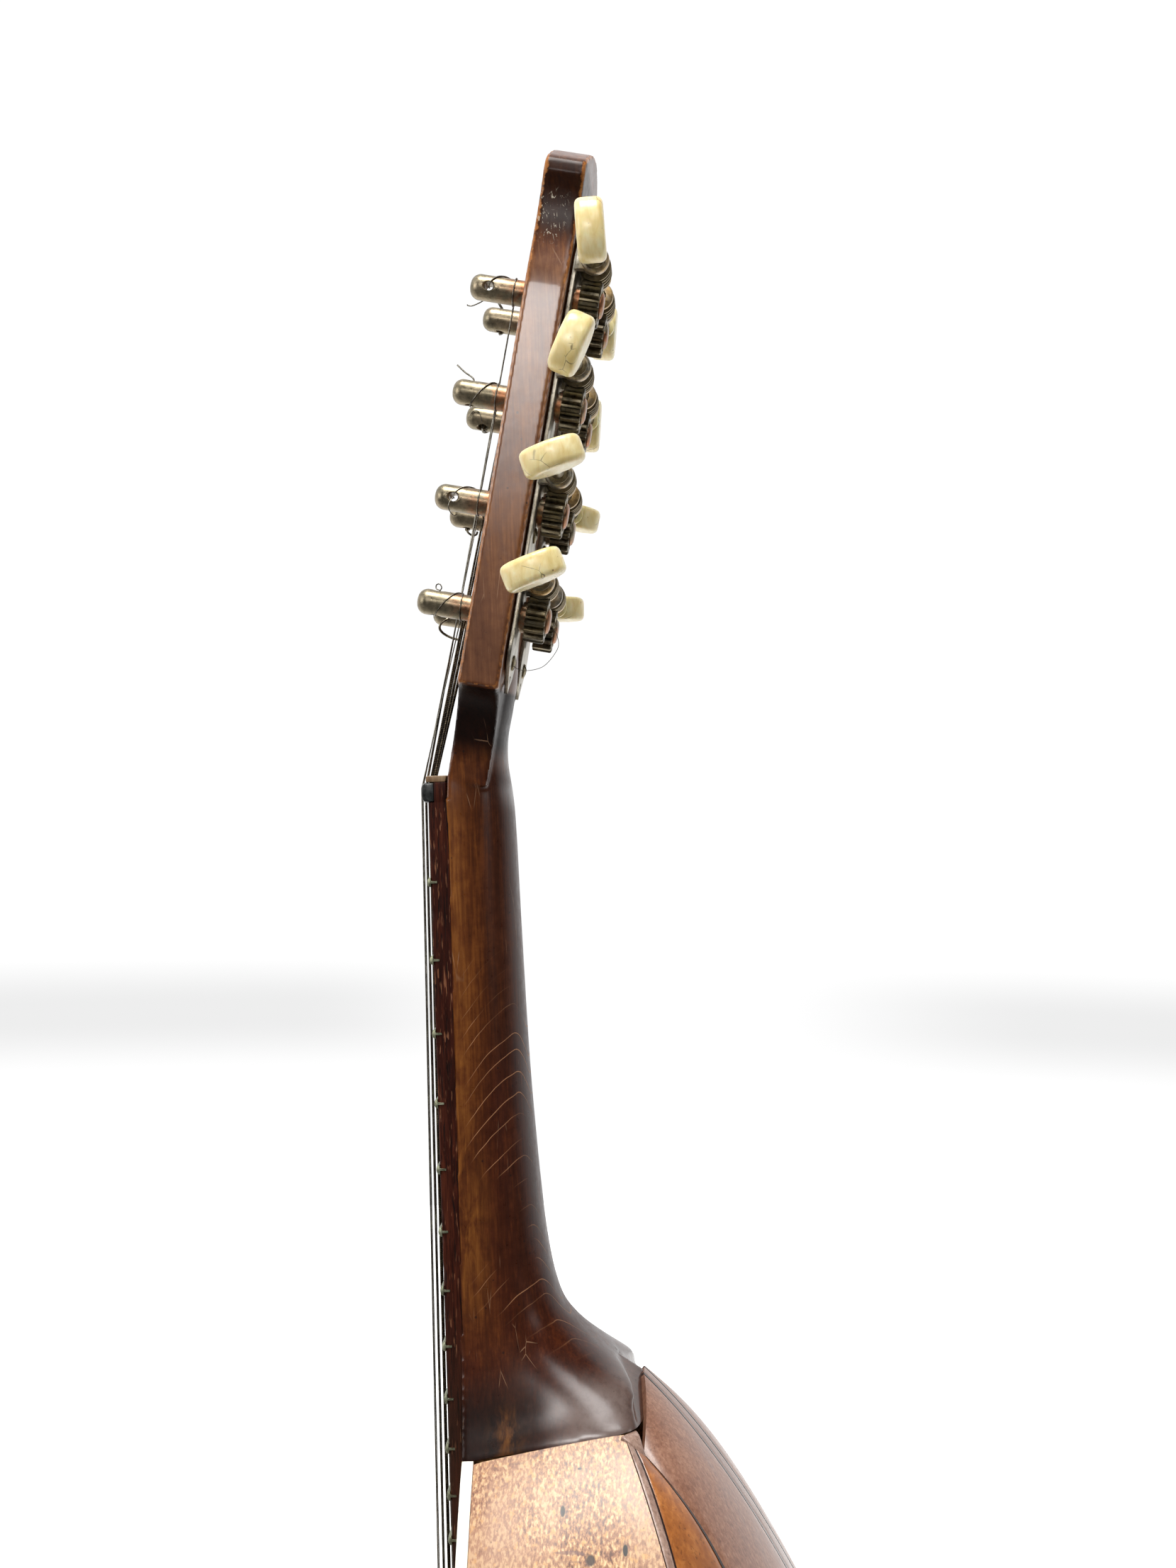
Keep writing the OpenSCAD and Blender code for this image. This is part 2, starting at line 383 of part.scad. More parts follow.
module post(i) { color([0.5, 0.46, 0.34]) place() headframe() translate([side(i) * post_x, 0, post_s(i)]) rotate([-90, 0, 0]) difference() {
  union() {
    translate([0, 0, -12.3]) cylinder(h = 12.3 + plate_d + plate_t + 0.35, r = post_r);
    rotate_extrude() polygon(concat([[0, -12.35]], [[post_r, -12.35]], [for (a = [0:15:90]) [post_r * cos(a), -12.3 - 0.8 * sin(a)]]));
    translate([0, 0, plate_d + plate_t + 0.3]) cylinder(h = worm_d - gear_w / 2 - plate_d - plate_t - 0.3, r = 3.5);
    translate([0, 0, 11]) cylinder(h = 5.8, r = 2.1);
    translate([0, 0, 16.4]) cylinder(h = 0.9, r1 = 2.9, r2 = 2.1);
  }
  rotate([0, 0, hole_turn(i)]) translate([-10, 0, -8.7]) rotate([0, 90, 0]) cylinder(h = 20, r = 1);
} }
function tooth(k) = let (c = 360 * k / teeth + 90) [for (q = [[gear_root, -0.66], [gear_tip, -0.32], [gear_tip, 0.32], [gear_root, 0.66]]) let (a = atan2(q[1], q[0])) q[0] / cos(a) * [cos(c + a), sin(c + a)] * (q[0] > 4.5 ? cos(a) : 1)];
module gear(i) { color([0.3, 0.22, 0.12]) place() headframe() translate([side(i) * post_x, 0, post_s(i)]) difference() {
  along_y(worm_d - gear_w / 2, gear_w) polygon([for (k = [0:teeth - 1]) each tooth(k)]);
  translate([0, 10, 0]) rotate([-90, 0, 0]) cylinder(h = 6.4, r = 2.1);
  translate([0, 16.4, 0]) rotate([-90, 0, 0]) cylinder(h = 2, r = 2.9);
} }
steps = 14; turns = 4.2;
module thread() {
  loft([for (q = [0:steps * turns]) let (u = q / steps - turns / 2, a = 360 * u + 90, c = cos(a), s = sin(a), x = lead * u)
    [[x - 0.52, 2.15 * c, 2.15 * s], [x - 0.25, worm_tip * c, worm_tip * s], [x + 0.25, worm_tip * c, worm_tip * s], [x + 0.52, 2.15 * c, 2.15 * s]]]);
}
module worm(i) { color([0.6, 0.5, 0.3]) place() headframe() translate([side(i) * post_x, worm_d, post_s(i) + worm_up]) {
  sx = side(i);
  rotate([0, sx * 90, 0]) { translate([0, 0, -7.6]) cylinder(h = 36.6, r = shaft_r);
    translate([0, 0, -5.4]) cylinder(h = 11.6, r = worm_core);
    translate([0, 0, 9.4]) cylinder(h = 1.2, r = 2.4); }
  thread();
} }
function button_ring(n) = [for (k = [0:n - 1]) let (a = 360 * k / n, c = cos(a), s = sin(a)) [5.6 + 5.4 * sgn(c) * pow(abs(c), 0.8) * (c < 0 ? 1 : 1), button_l / 2 * sgn(s) * pow(abs(s), 0.8) * (1 - 0.16 * (1 - c) / 2)]];
module button(i) { color([0.9, 0.84, 0.6]) place() headframe() translate([side(i) * post_x, worm_d, post_s(i) + worm_up]) difference() {
  rotate([button_turn(i), 0, 0]) scale_x(side(i)) translate([24, 0, 0]) union() {
    translate([0, 3, 0]) rotate([90, 0, 0]) linear_extrude(6) polygon(button_ring(36));
    translate([-1.2, 0, 0]) rotate([0, 90, 0]) cylinder(h = 3, r = 2.7);
  }
  rotate([0, side(i) * 90, 0]) cylinder(h = 29, r = shaft_r);
} }
module scale_x(s) { if (s > 0) children(); else mirror([1, 0, 0]) children(); }
module post_1() { post(1); } module post_2() { post(2); } module post_3() { post(3); } module post_4() { post(4); }
module post_5() { post(5); } module post_6() { post(6); } module post_7() { post(7); } module post_8() { post(8); }
module gear_1() { gear(1); } module gear_2() { gear(2); } module gear_3() { gear(3); } module gear_4() { gear(4); }
module gear_5() { gear(5); } module gear_6() { gear(6); } module gear_7() { gear(7); } module gear_8() { gear(8); }
module worm_1() { worm(1); } module worm_2() { worm(2); } module worm_3() { worm(3); } module worm_4() { worm(4); }
module worm_5() { worm(5); } module worm_6() { worm(6); } module worm_7() { worm(7); } module worm_8() { worm(8); }
module button_1() { button(1); } module button_2() { button(2); } module button_3() { button(3); } module button_4() { button(4); }
module button_5() { button(5); } module button_6() { button(6); } module button_7() { button(7); } module button_8() { button(8); }

neck();
end_blocks();
soundboard();
soundboard_bars();
inlays();
pickguard();
binding();
linings();
side_rib_treble();
side_rib_bass();
second_rib_treble();
second_rib_bass();
third_rib_treble();
third_rib_bass();
centre_rib();
end_clasp();
fingerboard();
frets();
nut();
nut_strip();
bridge();
saddle();
tailpiece();
strap_button();
tuner_plate_treble();
tuner_plate_bass();
plate_screws();
strings();
post_1();
post_2();
post_3();
post_4();
post_5();
post_6();
post_7();
post_8();
gear_1();
gear_2();
gear_3();
gear_4();
gear_5();
gear_6();
gear_7();
gear_8();
worm_1();
worm_2();
worm_3();
worm_4();
worm_5();
worm_6();
worm_7();
worm_8();
button_1();
button_2();
button_3();
button_4();
button_5();
button_6();
button_7();
button_8();
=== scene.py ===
import math
import random

import bmesh
import bpy
import numpy as np
from mathutils import Matrix, Vector, noise


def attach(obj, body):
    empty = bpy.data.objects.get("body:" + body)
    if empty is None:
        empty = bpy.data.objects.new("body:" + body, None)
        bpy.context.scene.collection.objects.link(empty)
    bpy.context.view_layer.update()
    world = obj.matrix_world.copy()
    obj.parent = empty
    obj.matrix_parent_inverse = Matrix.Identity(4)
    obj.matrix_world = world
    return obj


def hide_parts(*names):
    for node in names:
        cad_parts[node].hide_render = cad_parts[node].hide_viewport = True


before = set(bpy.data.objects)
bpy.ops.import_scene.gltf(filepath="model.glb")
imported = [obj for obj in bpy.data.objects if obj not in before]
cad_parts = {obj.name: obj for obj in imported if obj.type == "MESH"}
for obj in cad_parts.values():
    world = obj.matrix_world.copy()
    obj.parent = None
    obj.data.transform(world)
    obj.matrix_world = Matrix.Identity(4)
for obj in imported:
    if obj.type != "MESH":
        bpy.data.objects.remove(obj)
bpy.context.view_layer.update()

scene = bpy.context.scene
scene.view_settings.view_transform = "Standard"
scene.view_settings.look = "None"

# ------------------------------------------------------------------ frame of the instrument, millimetres
YOKE = 14.0
TH = math.radians(11.4)
ST, CT = math.sin(TH), math.cos(TH)
HZ = 3.1
HEAD_T = 9.2
POST_X, POST_R = 14.6, 2.9
POST_S0, POST_PITCH = 40.15, 23.85
WORM_UP, WORM_D = 7.9, 14.1
PLATE_D, PLATE_T = HEAD_T + 0.45, 0.8
T_JOINT, T_WIDE, T_TAIL, T_RIB, T_CANT = 146.0, 345.0, 446.0, 442.5, 337.0
CANT = math.radians(6.5)
TILT = 0.15
BOWL_HW, BOWL_D = 97.0, 125.0
BIND_H, BIND_W = 2.6, 2.0
TOP_T = 2.2
NECK_HW, HEEL_HW = 14.5, 23.4
SCALE = 330.0
HOLE_T, HOLE_A, HOLE_B = 241.0, 27.0, 20.0


def W(p):
    return Vector((p[0] * 0.001, p[1] * 0.001, (p[2] - YOKE) * 0.001))


def H(x, d, s):
    return (x, s * ST + d * CT, HZ + s * CT - d * ST)


def lerp(a, b, t):
    return a + (b - a) * t


def smooth01(t):
    t = min(1.0, max(0.0, t))
    return t * t * (3 - 2 * t)


def catmull(pts, n, closed=False):
    """Points of a Catmull-Rom curve through pts, n per span."""
    P = [np.array(p, float) for p in pts]
    out = []
    m = len(P)
    spans = m if closed else m - 1
    for i in range(spans):
        if closed:
            p0, p1, p2, p3 = P[(i - 1) % m], P[i], P[(i + 1) % m], P[(i + 2) % m]
        else:
            p0, p1, p2, p3 = P[max(0, i - 1)], P[i], P[i + 1], P[min(m - 1, i + 2)]
        for k in range(n):
            t = k / n
            out.append(0.5 * ((2 * p1) + (-p0 + p2) * t + (2 * p0 - 5 * p1 + 4 * p2 - p3) * t * t + (-p0 + 3 * p1 - 3 * p2 + p3) * t ** 3))
    if not closed:
        out.append(P[-1])
    return [tuple(o) for o in out]


# ------------------------------------------------------------------ mesh helpers
def new_object(name, verts, faces):
    me = bpy.data.meshes.new(name)
    me.from_pydata([W(v) for v in verts], [], faces)
    me.update()
    ob = bpy.data.objects.new(name, me)
    scene.collection.objects.link(ob)
    fix_normals(ob)
    return ob


def fix_normals(ob):
    bm = bmesh.new()
    bm.from_mesh(ob.data)
    bmesh.ops.remove_doubles(bm, verts=bm.verts, dist=1e-7)
    bmesh.ops.recalc_face_normals(bm, faces=bm.faces)
    bm.to_mesh(ob.data)
    bm.free()


def shade(ob, angle=35):
    me = ob.data
    for p in me.polygons:
        p.use_smooth = True
    me.set_sharp_from_angle(angle=math.radians(angle))


def apply_mods(ob):
    dg = bpy.context.evaluated_depsgraph_get()
    me = bpy.data.meshes.new_from_object(ob.evaluated_get(dg), depsgraph=dg)
    ob.modifiers.clear()
    old = ob.data
    ob.data = me
    bpy.data.meshes.remove(old)


def bevel(ob, width, segments=2, angle=30):
    m = ob.modifiers.new("bevel", "BEVEL")
    m.width = width * 0.001
    m.segments = segments
    m.limit_method = "ANGLE"
    m.angle_limit = math.radians(angle)
    m.use_clamp_overlap = True
    m.harden_normals = False
    apply_mods(ob)


def boolean(ob, cutter, op="DIFFERENCE", solver="EXACT"):
    m = ob.modifiers.new("b", "BOOLEAN")
    m.operation = op
    m.object = cutter
    m.solver = solver
    apply_mods(ob)
    bpy.data.objects.remove(cutter)


def remesh(ob, size):
    m = ob.modifiers.new("r", "REMESH")
    m.mode = "VOXEL"
    m.voxel_size = size * 0.001
    m.use_smooth_shade = True
    apply_mods(ob)


def smooth_mesh(ob, factor=0.5, it=4):
    m = ob.modifiers.new("s", "SMOOTH")
    m.factor = factor
    m.iterations = it
    apply_mods(ob)


def bisect(ob, co, no, fill=True):
    """Removes what lies on the side that no points to. co in mm, no a direction."""
    bm = bmesh.new()
    bm.from_mesh(ob.data)
    r = bmesh.ops.bisect_plane(bm, geom=list(bm.verts) + list(bm.edges) + list(bm.faces), plane_co=W(co), plane_no=Vector(no), clear_outer=True, dist=1e-8)
    if fill:
        edges = [e for e in r["geom_cut"] if isinstance(e, bmesh.types.BMEdge)]
        bmesh.ops.contextual_create(bm, geom=edges)
        bmesh.ops.triangulate(bm, faces=[f for f in bm.faces if len(f.verts) > 8])
    bm.to_mesh(ob.data)
    bm.free()


def join(objs):
    bm = bmesh.new()
    for o in objs:
        bm.from_mesh(o.data)
    me = bpy.data.meshes.new(objs[0].name)
    bm.to_mesh(me)
    bm.free()
    name = objs[0].name
    for o in objs:
        old = o.data
        bpy.data.objects.remove(o)
        bpy.data.meshes.remove(old)
    ob = bpy.data.objects.new(name, me)
    scene.collection.objects.link(ob)
    return ob


def loft(rows, closed=True, caps=True):
    m = len(rows[0])
    verts = [p for r in rows for p in r]
    faces = []
    for i in range(len(rows) - 1):
        for j in range(m if closed else m - 1):
            k = (j + 1) % m
            faces.append((i * m + j, i * m + k, (i + 1) * m + k, (i + 1) * m + j))
    if caps and closed:
        faces.append(tuple(range(m - 1, -1, -1)))
        faces.append(tuple((len(rows) - 1) * m + j for j in range(m)))
    return verts, faces


def prism(poly, fn0, fn1):
    """Solid between two copies of a 2D outline, each mapped to 3D by a function."""
    n = len(poly)
    v = [fn0(*p) for p in poly] + [fn1(*p) for p in poly]
    f = [tuple(range(n - 1, -1, -1)), tuple(range(n, 2 * n))]
    f += [(i, (i + 1) % n, n + (i + 1) % n, n + i) for i in range(n)]
    return v, f


def lathe(profile, n, place):
    """profile: (r, h) pairs; place(x, y, h) maps to 3D; ends on the axis are closed."""
    verts, faces = [], []
    rings = []
    for r, h in profile:
        if r < 1e-6:
            rings.append([len(verts)])
            verts.append(place(0, 0, h))
        else:
            rings.append(list(range(len(verts), len(verts) + n)))
            for k in range(n):
                a = 2 * math.pi * k / n
                verts.append(place(r * math.cos(a), r * math.sin(a), h))
    for a, b in zip(rings, rings[1:]):
        if len(a) == 1 and len(b) == 1:
            continue
        for k in range(n):
            l = (k + 1) % n
            if len(a) == 1:
                faces.append((a[0], b[k], b[l]))
            elif len(b) == 1:
                faces.append((a[k], b[0], a[l]))
            else:
                faces.append((a[k], b[k], b[l], a[l]))
    return verts, faces


def tube(points, radius, sides=8, caps=True, twist_bump=None):
    """A round tube along a list of 3D points (mm); radius is a number or a list."""
    P = [np.array(p, float) for p in points]
    n = len(P)
    T = []
    for i in range(n):
        t = P[min(n - 1, i + 1)] - P[max(0, i - 1)]
        T.append(t / (np.linalg.norm(t) + 1e-12))
    ref = np.array([0.0, 0.0, 1.0]) if abs(T[0][2]) < 0.9 else np.array([1.0, 0, 0])
    u = np.cross(T[0], ref)
    u /= np.linalg.norm(u)
    rows = []
    for i in range(n):
        u = u - T[i] * np.dot(u, T[i])
        u /= np.linalg.norm(u)
        v = np.cross(T[i], u)
        r = radius[i] if hasattr(radius, "__len__") else radius
        rows.append([tuple(P[i] + r * (math.cos(2 * math.pi * k / sides) * u + math.sin(2 * math.pi * k / sides) * v)) for k in range(sides)])
    return loft(rows)


def finish_piece(ob, body, mat, replaces=(), angle=35, smooth=True):
    if smooth:
        shade(ob, angle)
    ob.data.materials.clear()
    ob.data.materials.append(mat)
    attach(ob, body)
    if replaces:
        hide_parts(*replaces)
    return ob


# ------------------------------------------------------------------ materials
class M:
    """A small helper for building node materials."""

    def __init__(self, name):
        self.mat = bpy.data.materials.new(name)
        self.mat.use_nodes = True
        self.nt = self.mat.node_tree
        self.nt.nodes.clear()
        self.out = self.nt.nodes.new("ShaderNodeOutputMaterial")
        self.p = self.nt.nodes.new("ShaderNodeBsdfPrincipled")
        self.nt.links.new(self.p.outputs[0], self.out.inputs[0])
        self.tc = self.nt.nodes.new("ShaderNodeTexCoord")
        self.obj = self.tc.outputs["Object"]

    def link(self, a, b):
        self.nt.links.new(a, b)

    def set(self, **kw):
        names = {"rough": "Roughness", "metal": "Metallic", "coat": "Coat Weight", "coat_rough": "Coat Roughness", "ior": "IOR", "spec": "Specular IOR Level",
                 "sheen": "Sheen Weight", "sss": "Subsurface Weight", "aniso": "Anisotropic", "sss_scale": "Subsurface Scale"}
        for k, v in kw.items():
            self.p.inputs[names[k]].default_value = v
        return self

    def mapping(self, scale=(1, 1, 1), rot=(0, 0, 0), loc=(0, 0, 0), src=None):
        n = self.nt.nodes.new("ShaderNodeMapping")
        n.inputs["Scale"].default_value = scale
        n.inputs["Rotation"].default_value = rot
        n.inputs["Location"].default_value = loc
        self.link(src or self.obj, n.inputs["Vector"])
        return n.outputs[0]

    def noise(self, vec, scale=1.0, detail=4, rough=0.55, distort=0.0, dim="3D"):
        n = self.nt.nodes.new("ShaderNodeTexNoise")
        n.noise_dimensions = dim
        n.inputs["Scale"].default_value = scale
        n.inputs["Detail"].default_value = detail
        n.inputs["Roughness"].default_value = rough
        n.inputs["Distortion"].default_value = distort
        if dim == "1D":
            self.link(vec, n.inputs["W"])
        else:
            self.link(vec, n.inputs["Vector"])
        return n.outputs["Fac"]

    def voronoi(self, vec, scale=1.0, feature="F1", rand=1.0, out="Distance"):
        n = self.nt.nodes.new("ShaderNodeTexVoronoi")
        n.feature = feature
        n.inputs["Scale"].default_value = scale
        n.inputs["Randomness"].default_value = rand
        self.link(vec, n.inputs["Vector"])
        return n.outputs[out]

    def ramp(self, fac, stops, interp="LINEAR"):
        n = self.nt.nodes.new("ShaderNodeValToRGB")
        cr = n.color_ramp
        cr.interpolation = interp
        while len(cr.elements) > 1:
            cr.elements.remove(cr.elements[-1])
        for i, (pos, col) in enumerate(stops):
            e = cr.elements[0] if i == 0 else cr.elements.new(pos)
            e.position = pos
            c = col if hasattr(col, "__len__") else (col, col, col)
            e.color = (c[0], c[1], c[2], 1)
        self.link(fac, n.inputs[0])
        return n.outputs[0]

    def mix(self, fac, a, b, mode="MIX"):
        n = self.nt.nodes.new("ShaderNodeMix")
        n.data_type = "RGBA"
        n.blend_type = mode
        n.clamp_factor = True
        self._in(n.inputs[0], fac)
        self._in(n.inputs[6], a)
        self._in(n.inputs[7], b)
        return n.outputs[2]

    def _in(self, sock, v):
        if isinstance(v, bpy.types.NodeSocket):
            self.link(v, sock)
        elif hasattr(v, "__len__"):
            sock.default_value = (v[0], v[1], v[2], 1) if sock.type == "RGBA" else v
        else:
            sock.default_value = (v, v, v, 1) if sock.type == "RGBA" else v

    def math(self, op, a, b=0.0, c=None, clamp=False):
        n = self.nt.nodes.new("ShaderNodeMath")
        n.operation = op
        n.use_clamp = clamp
        self._in(n.inputs[0], a)
        self._in(n.inputs[1], b)
        if c is not None:
            self._in(n.inputs[2], c)
        return n.outputs[0]

    def maprange(self, v, a, b, c=0.0, d=1.0, smooth=True):
        n = self.nt.nodes.new("ShaderNodeMapRange")
        n.interpolation_type = "SMOOTHSTEP" if smooth else "LINEAR"
        self._in(n.inputs[0], v)
        for i, x in enumerate((a, b, c, d)):
            n.inputs[i + 1].default_value = x
        return n.outputs[0]

    def sep(self, v):
        n = self.nt.nodes.new("ShaderNodeSeparateXYZ")
        self.link(v, n.inputs[0])
        return n.outputs

    def attr(self, name, out="Fac"):
        n = self.nt.nodes.new("ShaderNodeAttribute")
        n.attribute_name = name
        return n.outputs[out]

    def bump(self, height, strength=0.3, dist=0.0002, normal=None):
        n = self.nt.nodes.new("ShaderNodeBump")
        n.inputs["Strength"].default_value = strength
        n.inputs["Distance"].default_value = dist
        self.link(height, n.inputs["Height"])
        if normal is not None:
            self.link(normal, n.inputs["Normal"])
        return n.outputs[0]

    def color(self, v):
        self._in(self.p.inputs["Base Color"], v)
        return self

    def rough(self, v):
        self._in(self.p.inputs["Roughness"], v)
        return self

    def normal(self, v):
        self.link(v, self.p.inputs["Normal"])
        return self

    def coat_normal(self, v):
        self.link(v, self.p.inputs["Coat Normal"])
        return self


def srgb(r, g, b):
    return tuple(((c / 255) / 12.92 if c / 255 <= 0.04045 else ((c / 255 + 0.055) / 1.055) ** 2.4) for c in (r, g, b))


def wood(name, dark, mid, light, grain=(1, 1, 0.06), scale=1400, rough=(0.28, 0.42), coat=0.0, coat_rough=0.12, bump=0.12,
         mottle=0.35, pores=0.0, pore_col=None, flecks=0.0, fleck_col=None, blotch=None):
    """Wood with its grain along Z, in real units."""
    m = M(name)
    g = m.mapping(scale=grain)
    fine = m.noise(g, scale, 6, 0.6, 0.4)
    broad = m.noise(m.mapping(scale=(1, 1, 0.14)), scale * 0.12, 4, 0.55, 0.8)
    f = m.math("ADD", m.math("MULTIPLY", fine, 1 - mottle), m.math("MULTIPLY", broad, mottle))
    col = m.ramp(f, [(0.30, dark), (0.50, mid), (0.70, light)])
    if blotch:
        b = m.noise(m.obj, 70, 3, 0.5, 0.3)
        col = m.mix(m.maprange(b, 0.45, 0.68), col, blotch)
    h = fine
    if pores:
        pv = m.noise(m.mapping(scale=(1, 1, 0.05)), scale * 1.6, 3, 0.5, 0.2)
        pm = m.maprange(pv, 0.60, 0.70)
        pm = m.math("MULTIPLY", pm, pores)
        col = m.mix(pm, col, pore_col or tuple(c * 0.35 for c in dark))
        h = m.math("SUBTRACT", fine, pm)
    if flecks:
        fv = m.noise(m.mapping(scale=(1, 1, 0.28)), scale * 1.1, 2, 0.5, 0.0)
        fm = m.math("MULTIPLY", m.maprange(fv, 0.58, 0.68), flecks)
        col = m.mix(fm, col, fleck_col)
    m.color(col)
    m.rough(m.maprange(broad, 0.3, 0.7, rough[0], rough[1], smooth=False))
    m.set(coat=coat, coat_rough=coat_rough)
    m.normal(m.bump(h, bump, 0.00015))
    return m


def metal(name, dark, mid, light, rough=(0.22, 0.5), scale=900, aniso=(1, 1, 1), tint=None, bump=0.08, metallic=1.0):
    m = M(name)
    n1 = m.noise(m.mapping(scale=aniso), scale, 6, 0.65, 0.3)
    n2 = m.noise(m.obj, 160, 4, 0.6, 0.5)
    f = m.math("ADD", m.math("MULTIPLY", n1, 0.5), m.math("MULTIPLY", n2, 0.5))
    col = m.ramp(f, [(0.34, dark), (0.5, mid), (0.66, light)])
    if tint:
        col = m.mix(m.math("MULTIPLY", m.maprange(n2, 0.5, 0.7), 0.7), col, tint)
    m.color(col)
    m.rough(m.maprange(n1, 0.3, 0.7, rough[0], rough[1], smooth=False))
    m.set(metal=metallic)
    m.normal(m.bump(n1, bump, 0.0001))
    return m


# ------------------------------------------------------------------ camera, light, stage
cam_pos = Vector((0.432886, 0.049260, 0.002133 - YOKE * 0.001))
right = Vector((-0.04099, 0.99867, -0.03129)).normalized()
up = Vector((-0.0005, 0.0313, 0.99951))
up = (up - right * up.dot(right)).normalized()
back = right.cross(up).normalized()
cam_data = bpy.data.cameras.new("camera")
cam = bpy.data.objects.new("camera", cam_data)
scene.collection.objects.link(cam)
cam.matrix_world = Matrix(((right.x, up.x, back.x, cam_pos.x), (right.y, up.y, back.y, cam_pos.y), (right.z, up.z, back.z, cam_pos.z), (0, 0, 0, 1)))
cam_data.sensor_fit = "AUTO"
cam_data.sensor_width = 36.0
cam_data.lens = 2635.0 / 2212.0 * 36.0
cam_data.clip_start = 0.01
cam_data.clip_end = 50
scene.camera = cam

world = bpy.data.worlds.new("world")
scene.world = world
world.use_nodes = True


def world_nodes():
    """White surroundings, with the darker room on the side that the long face of the neck looks at."""
    nt = world.node_tree
    bg = nt.nodes["Background"]
    tc = nt.nodes.new("ShaderNodeTexCoord")
    sep = nt.nodes.new("ShaderNodeSeparateXYZ")
    nt.links.new(tc.outputs["Generated"], sep.inputs[0])
    def step(src, lo, hi):
        n = nt.nodes.new("ShaderNodeMapRange")
        n.interpolation_type = "SMOOTHSTEP"
        nt.links.new(src, n.inputs[0])
        for i, v in enumerate((lo, hi, 0.0, 1.0)):
            n.inputs[i + 1].default_value = v
        return n.outputs[0]

    def mth(op, a, b):
        n = nt.nodes.new("ShaderNodeMath")
        n.operation = op
        nt.links.new(a, n.inputs[0])
        nt.links.new(b, n.inputs[1])
        return n.outputs[0]
    front = step(sep.outputs[0], 0.38, 0.80)
    right = mth("MULTIPLY", step(sep.outputs[1], 0.05, 0.45), step(sep.outputs[0], -0.60, -0.15))
    low = mth("MULTIPLY", step(sep.outputs[2], -0.12, -0.42), step(sep.outputs[0], -0.45, 0.0))
    rg = nt.nodes.new("ShaderNodeMapRange")
    nt.links.new(mth("MAXIMUM", mth("MAXIMUM", front, right), low), rg.inputs[0])
    for i, v in enumerate((0.0, 1.0, 1.03, 0.12)):
        rg.inputs[i + 1].default_value = v
    # two soft grey patches where the floor rolls up into the backdrop
    one = nt.nodes.new("ShaderNodeMath")
    one.operation = "MULTIPLY_ADD"
    one.inputs[1].default_value = 0.045
    nt.links.new(sep.outputs[1], one.inputs[0])
    nt.links.new(sep.outputs[2], one.inputs[2])
    bandm = mth("MULTIPLY", step(one.outputs[0], -0.158, -0.126), step(one.outputs[0], -0.088, -0.118))
    sides = mth("MAXIMUM", step(sep.outputs[1], -0.06, -0.20), step(sep.outputs[1], 0.02, 0.20))
    back = step(sep.outputs[0], -0.70, -0.90)
    hz = nt.nodes.new("ShaderNodeMapRange")
    nt.links.new(mth("MULTIPLY", mth("MULTIPLY", bandm, sides), back), hz.inputs[0])
    for i, v in enumerate((0.0, 1.0, 1.0, 0.83)):
        hz.inputs[i + 1].default_value = v
    mul = nt.nodes.new("ShaderNodeMath")
    mul.operation = "MULTIPLY"
    nt.links.new(rg.outputs[0], mul.inputs[0])
    nt.links.new(hz.outputs[0], mul.inputs[1])
    nt.links.new(mul.outputs[0], bg.inputs["Strength"])
    bg.inputs["Color"].default_value = (1.0, 1.0, 1.0, 1)


world_nodes()


def area(name, loc, target, size, power, color=(1, 1, 1), size_y=None):
    ld = bpy.data.lights.new(name, "AREA")
    ld.shape = "RECTANGLE"
    ld.size = size
    ld.size_y = size_y or size
    ld.energy = power
    ld.color = color
    lo = bpy.data.objects.new(name, ld)
    scene.collection.objects.link(lo)
    lo.location = loc
    d = Vector(target) - Vector(loc)
    lo.rotation_euler = d.to_track_quat("-Z", "Y").to_euler()
    return lo


area("window_front", (2.0, -0.147, 0.63), (0, 0, 0), 0.40, 5.4, (1.0, 0.97, 0.95), 0.22)
area("window_right", (1.08, 0.36, 0.86), (0, 0, -0.14), 0.50, 3.5, (1.0, 0.98, 0.97), 0.42)
area("key_top", (0.5, 0.0, 1.7), (0, 0, -0.05), 0.9, 35, (1.0, 0.985, 0.95))
area("fill_left", (0.95, -1.6, 0.45), (0, 0, -0.05), 0.9, 9, (1.0, 0.98, 0.96))
area("fill_right", (0.9, 1.6, 0.3), (0, 0, -0.05), 0.5, 1.6)


def stage():
    z = -0.4985
    def plane(name, x0, x1, y0, y1, zz, wall=False):
        me = bpy.data.meshes.new(name)
        if wall:
            me.from_pydata([(x0, y0, zz), (x0, y1, zz), (x0, y1, 5), (x0, y0, 5)], [], [(0, 1, 2, 3)])
        else:
            me.from_pydata([(x0, y0, zz), (x1, y0, zz), (x1, y1, zz), (x0, y1, zz)], [], [(0, 1, 2, 3)])
        ob = bpy.data.objects.new(name, me)
        scene.collection.objects.link(ob)
        return ob
    fl = plane("floor", -1.75, 2.6, -3, 3, z)
    m = M("stage_floor")
    n = m.noise(m.obj, 3, 3, 0.5)
    # the floor is white at the back and dark grey towards the front; the back part also glows by emission, painted
    # light that keeps it bright white
    near = m.maprange(m.sep(m.obj)[0], -0.55, 0.35)
    m.color(m.mix(near, m.ramp(n, [(0.3, (0.925, 0.925, 0.92)), (0.7, (0.94, 0.94, 0.935))]), (0.10, 0.10, 0.10)))
    m.set(rough=0.7, spec=0.2)
    m.p.inputs["Emission Color"].default_value = (1.0, 1.0, 1.0, 1)
    m.link(m.maprange(m.sep(m.obj)[0], -0.60, 0.0, 0.55, 0.0), m.p.inputs["Emission Strength"])
    fl.data.materials.append(m.mat)


stage()

# ------------------------------------------------------------------ material library
MAT = {}


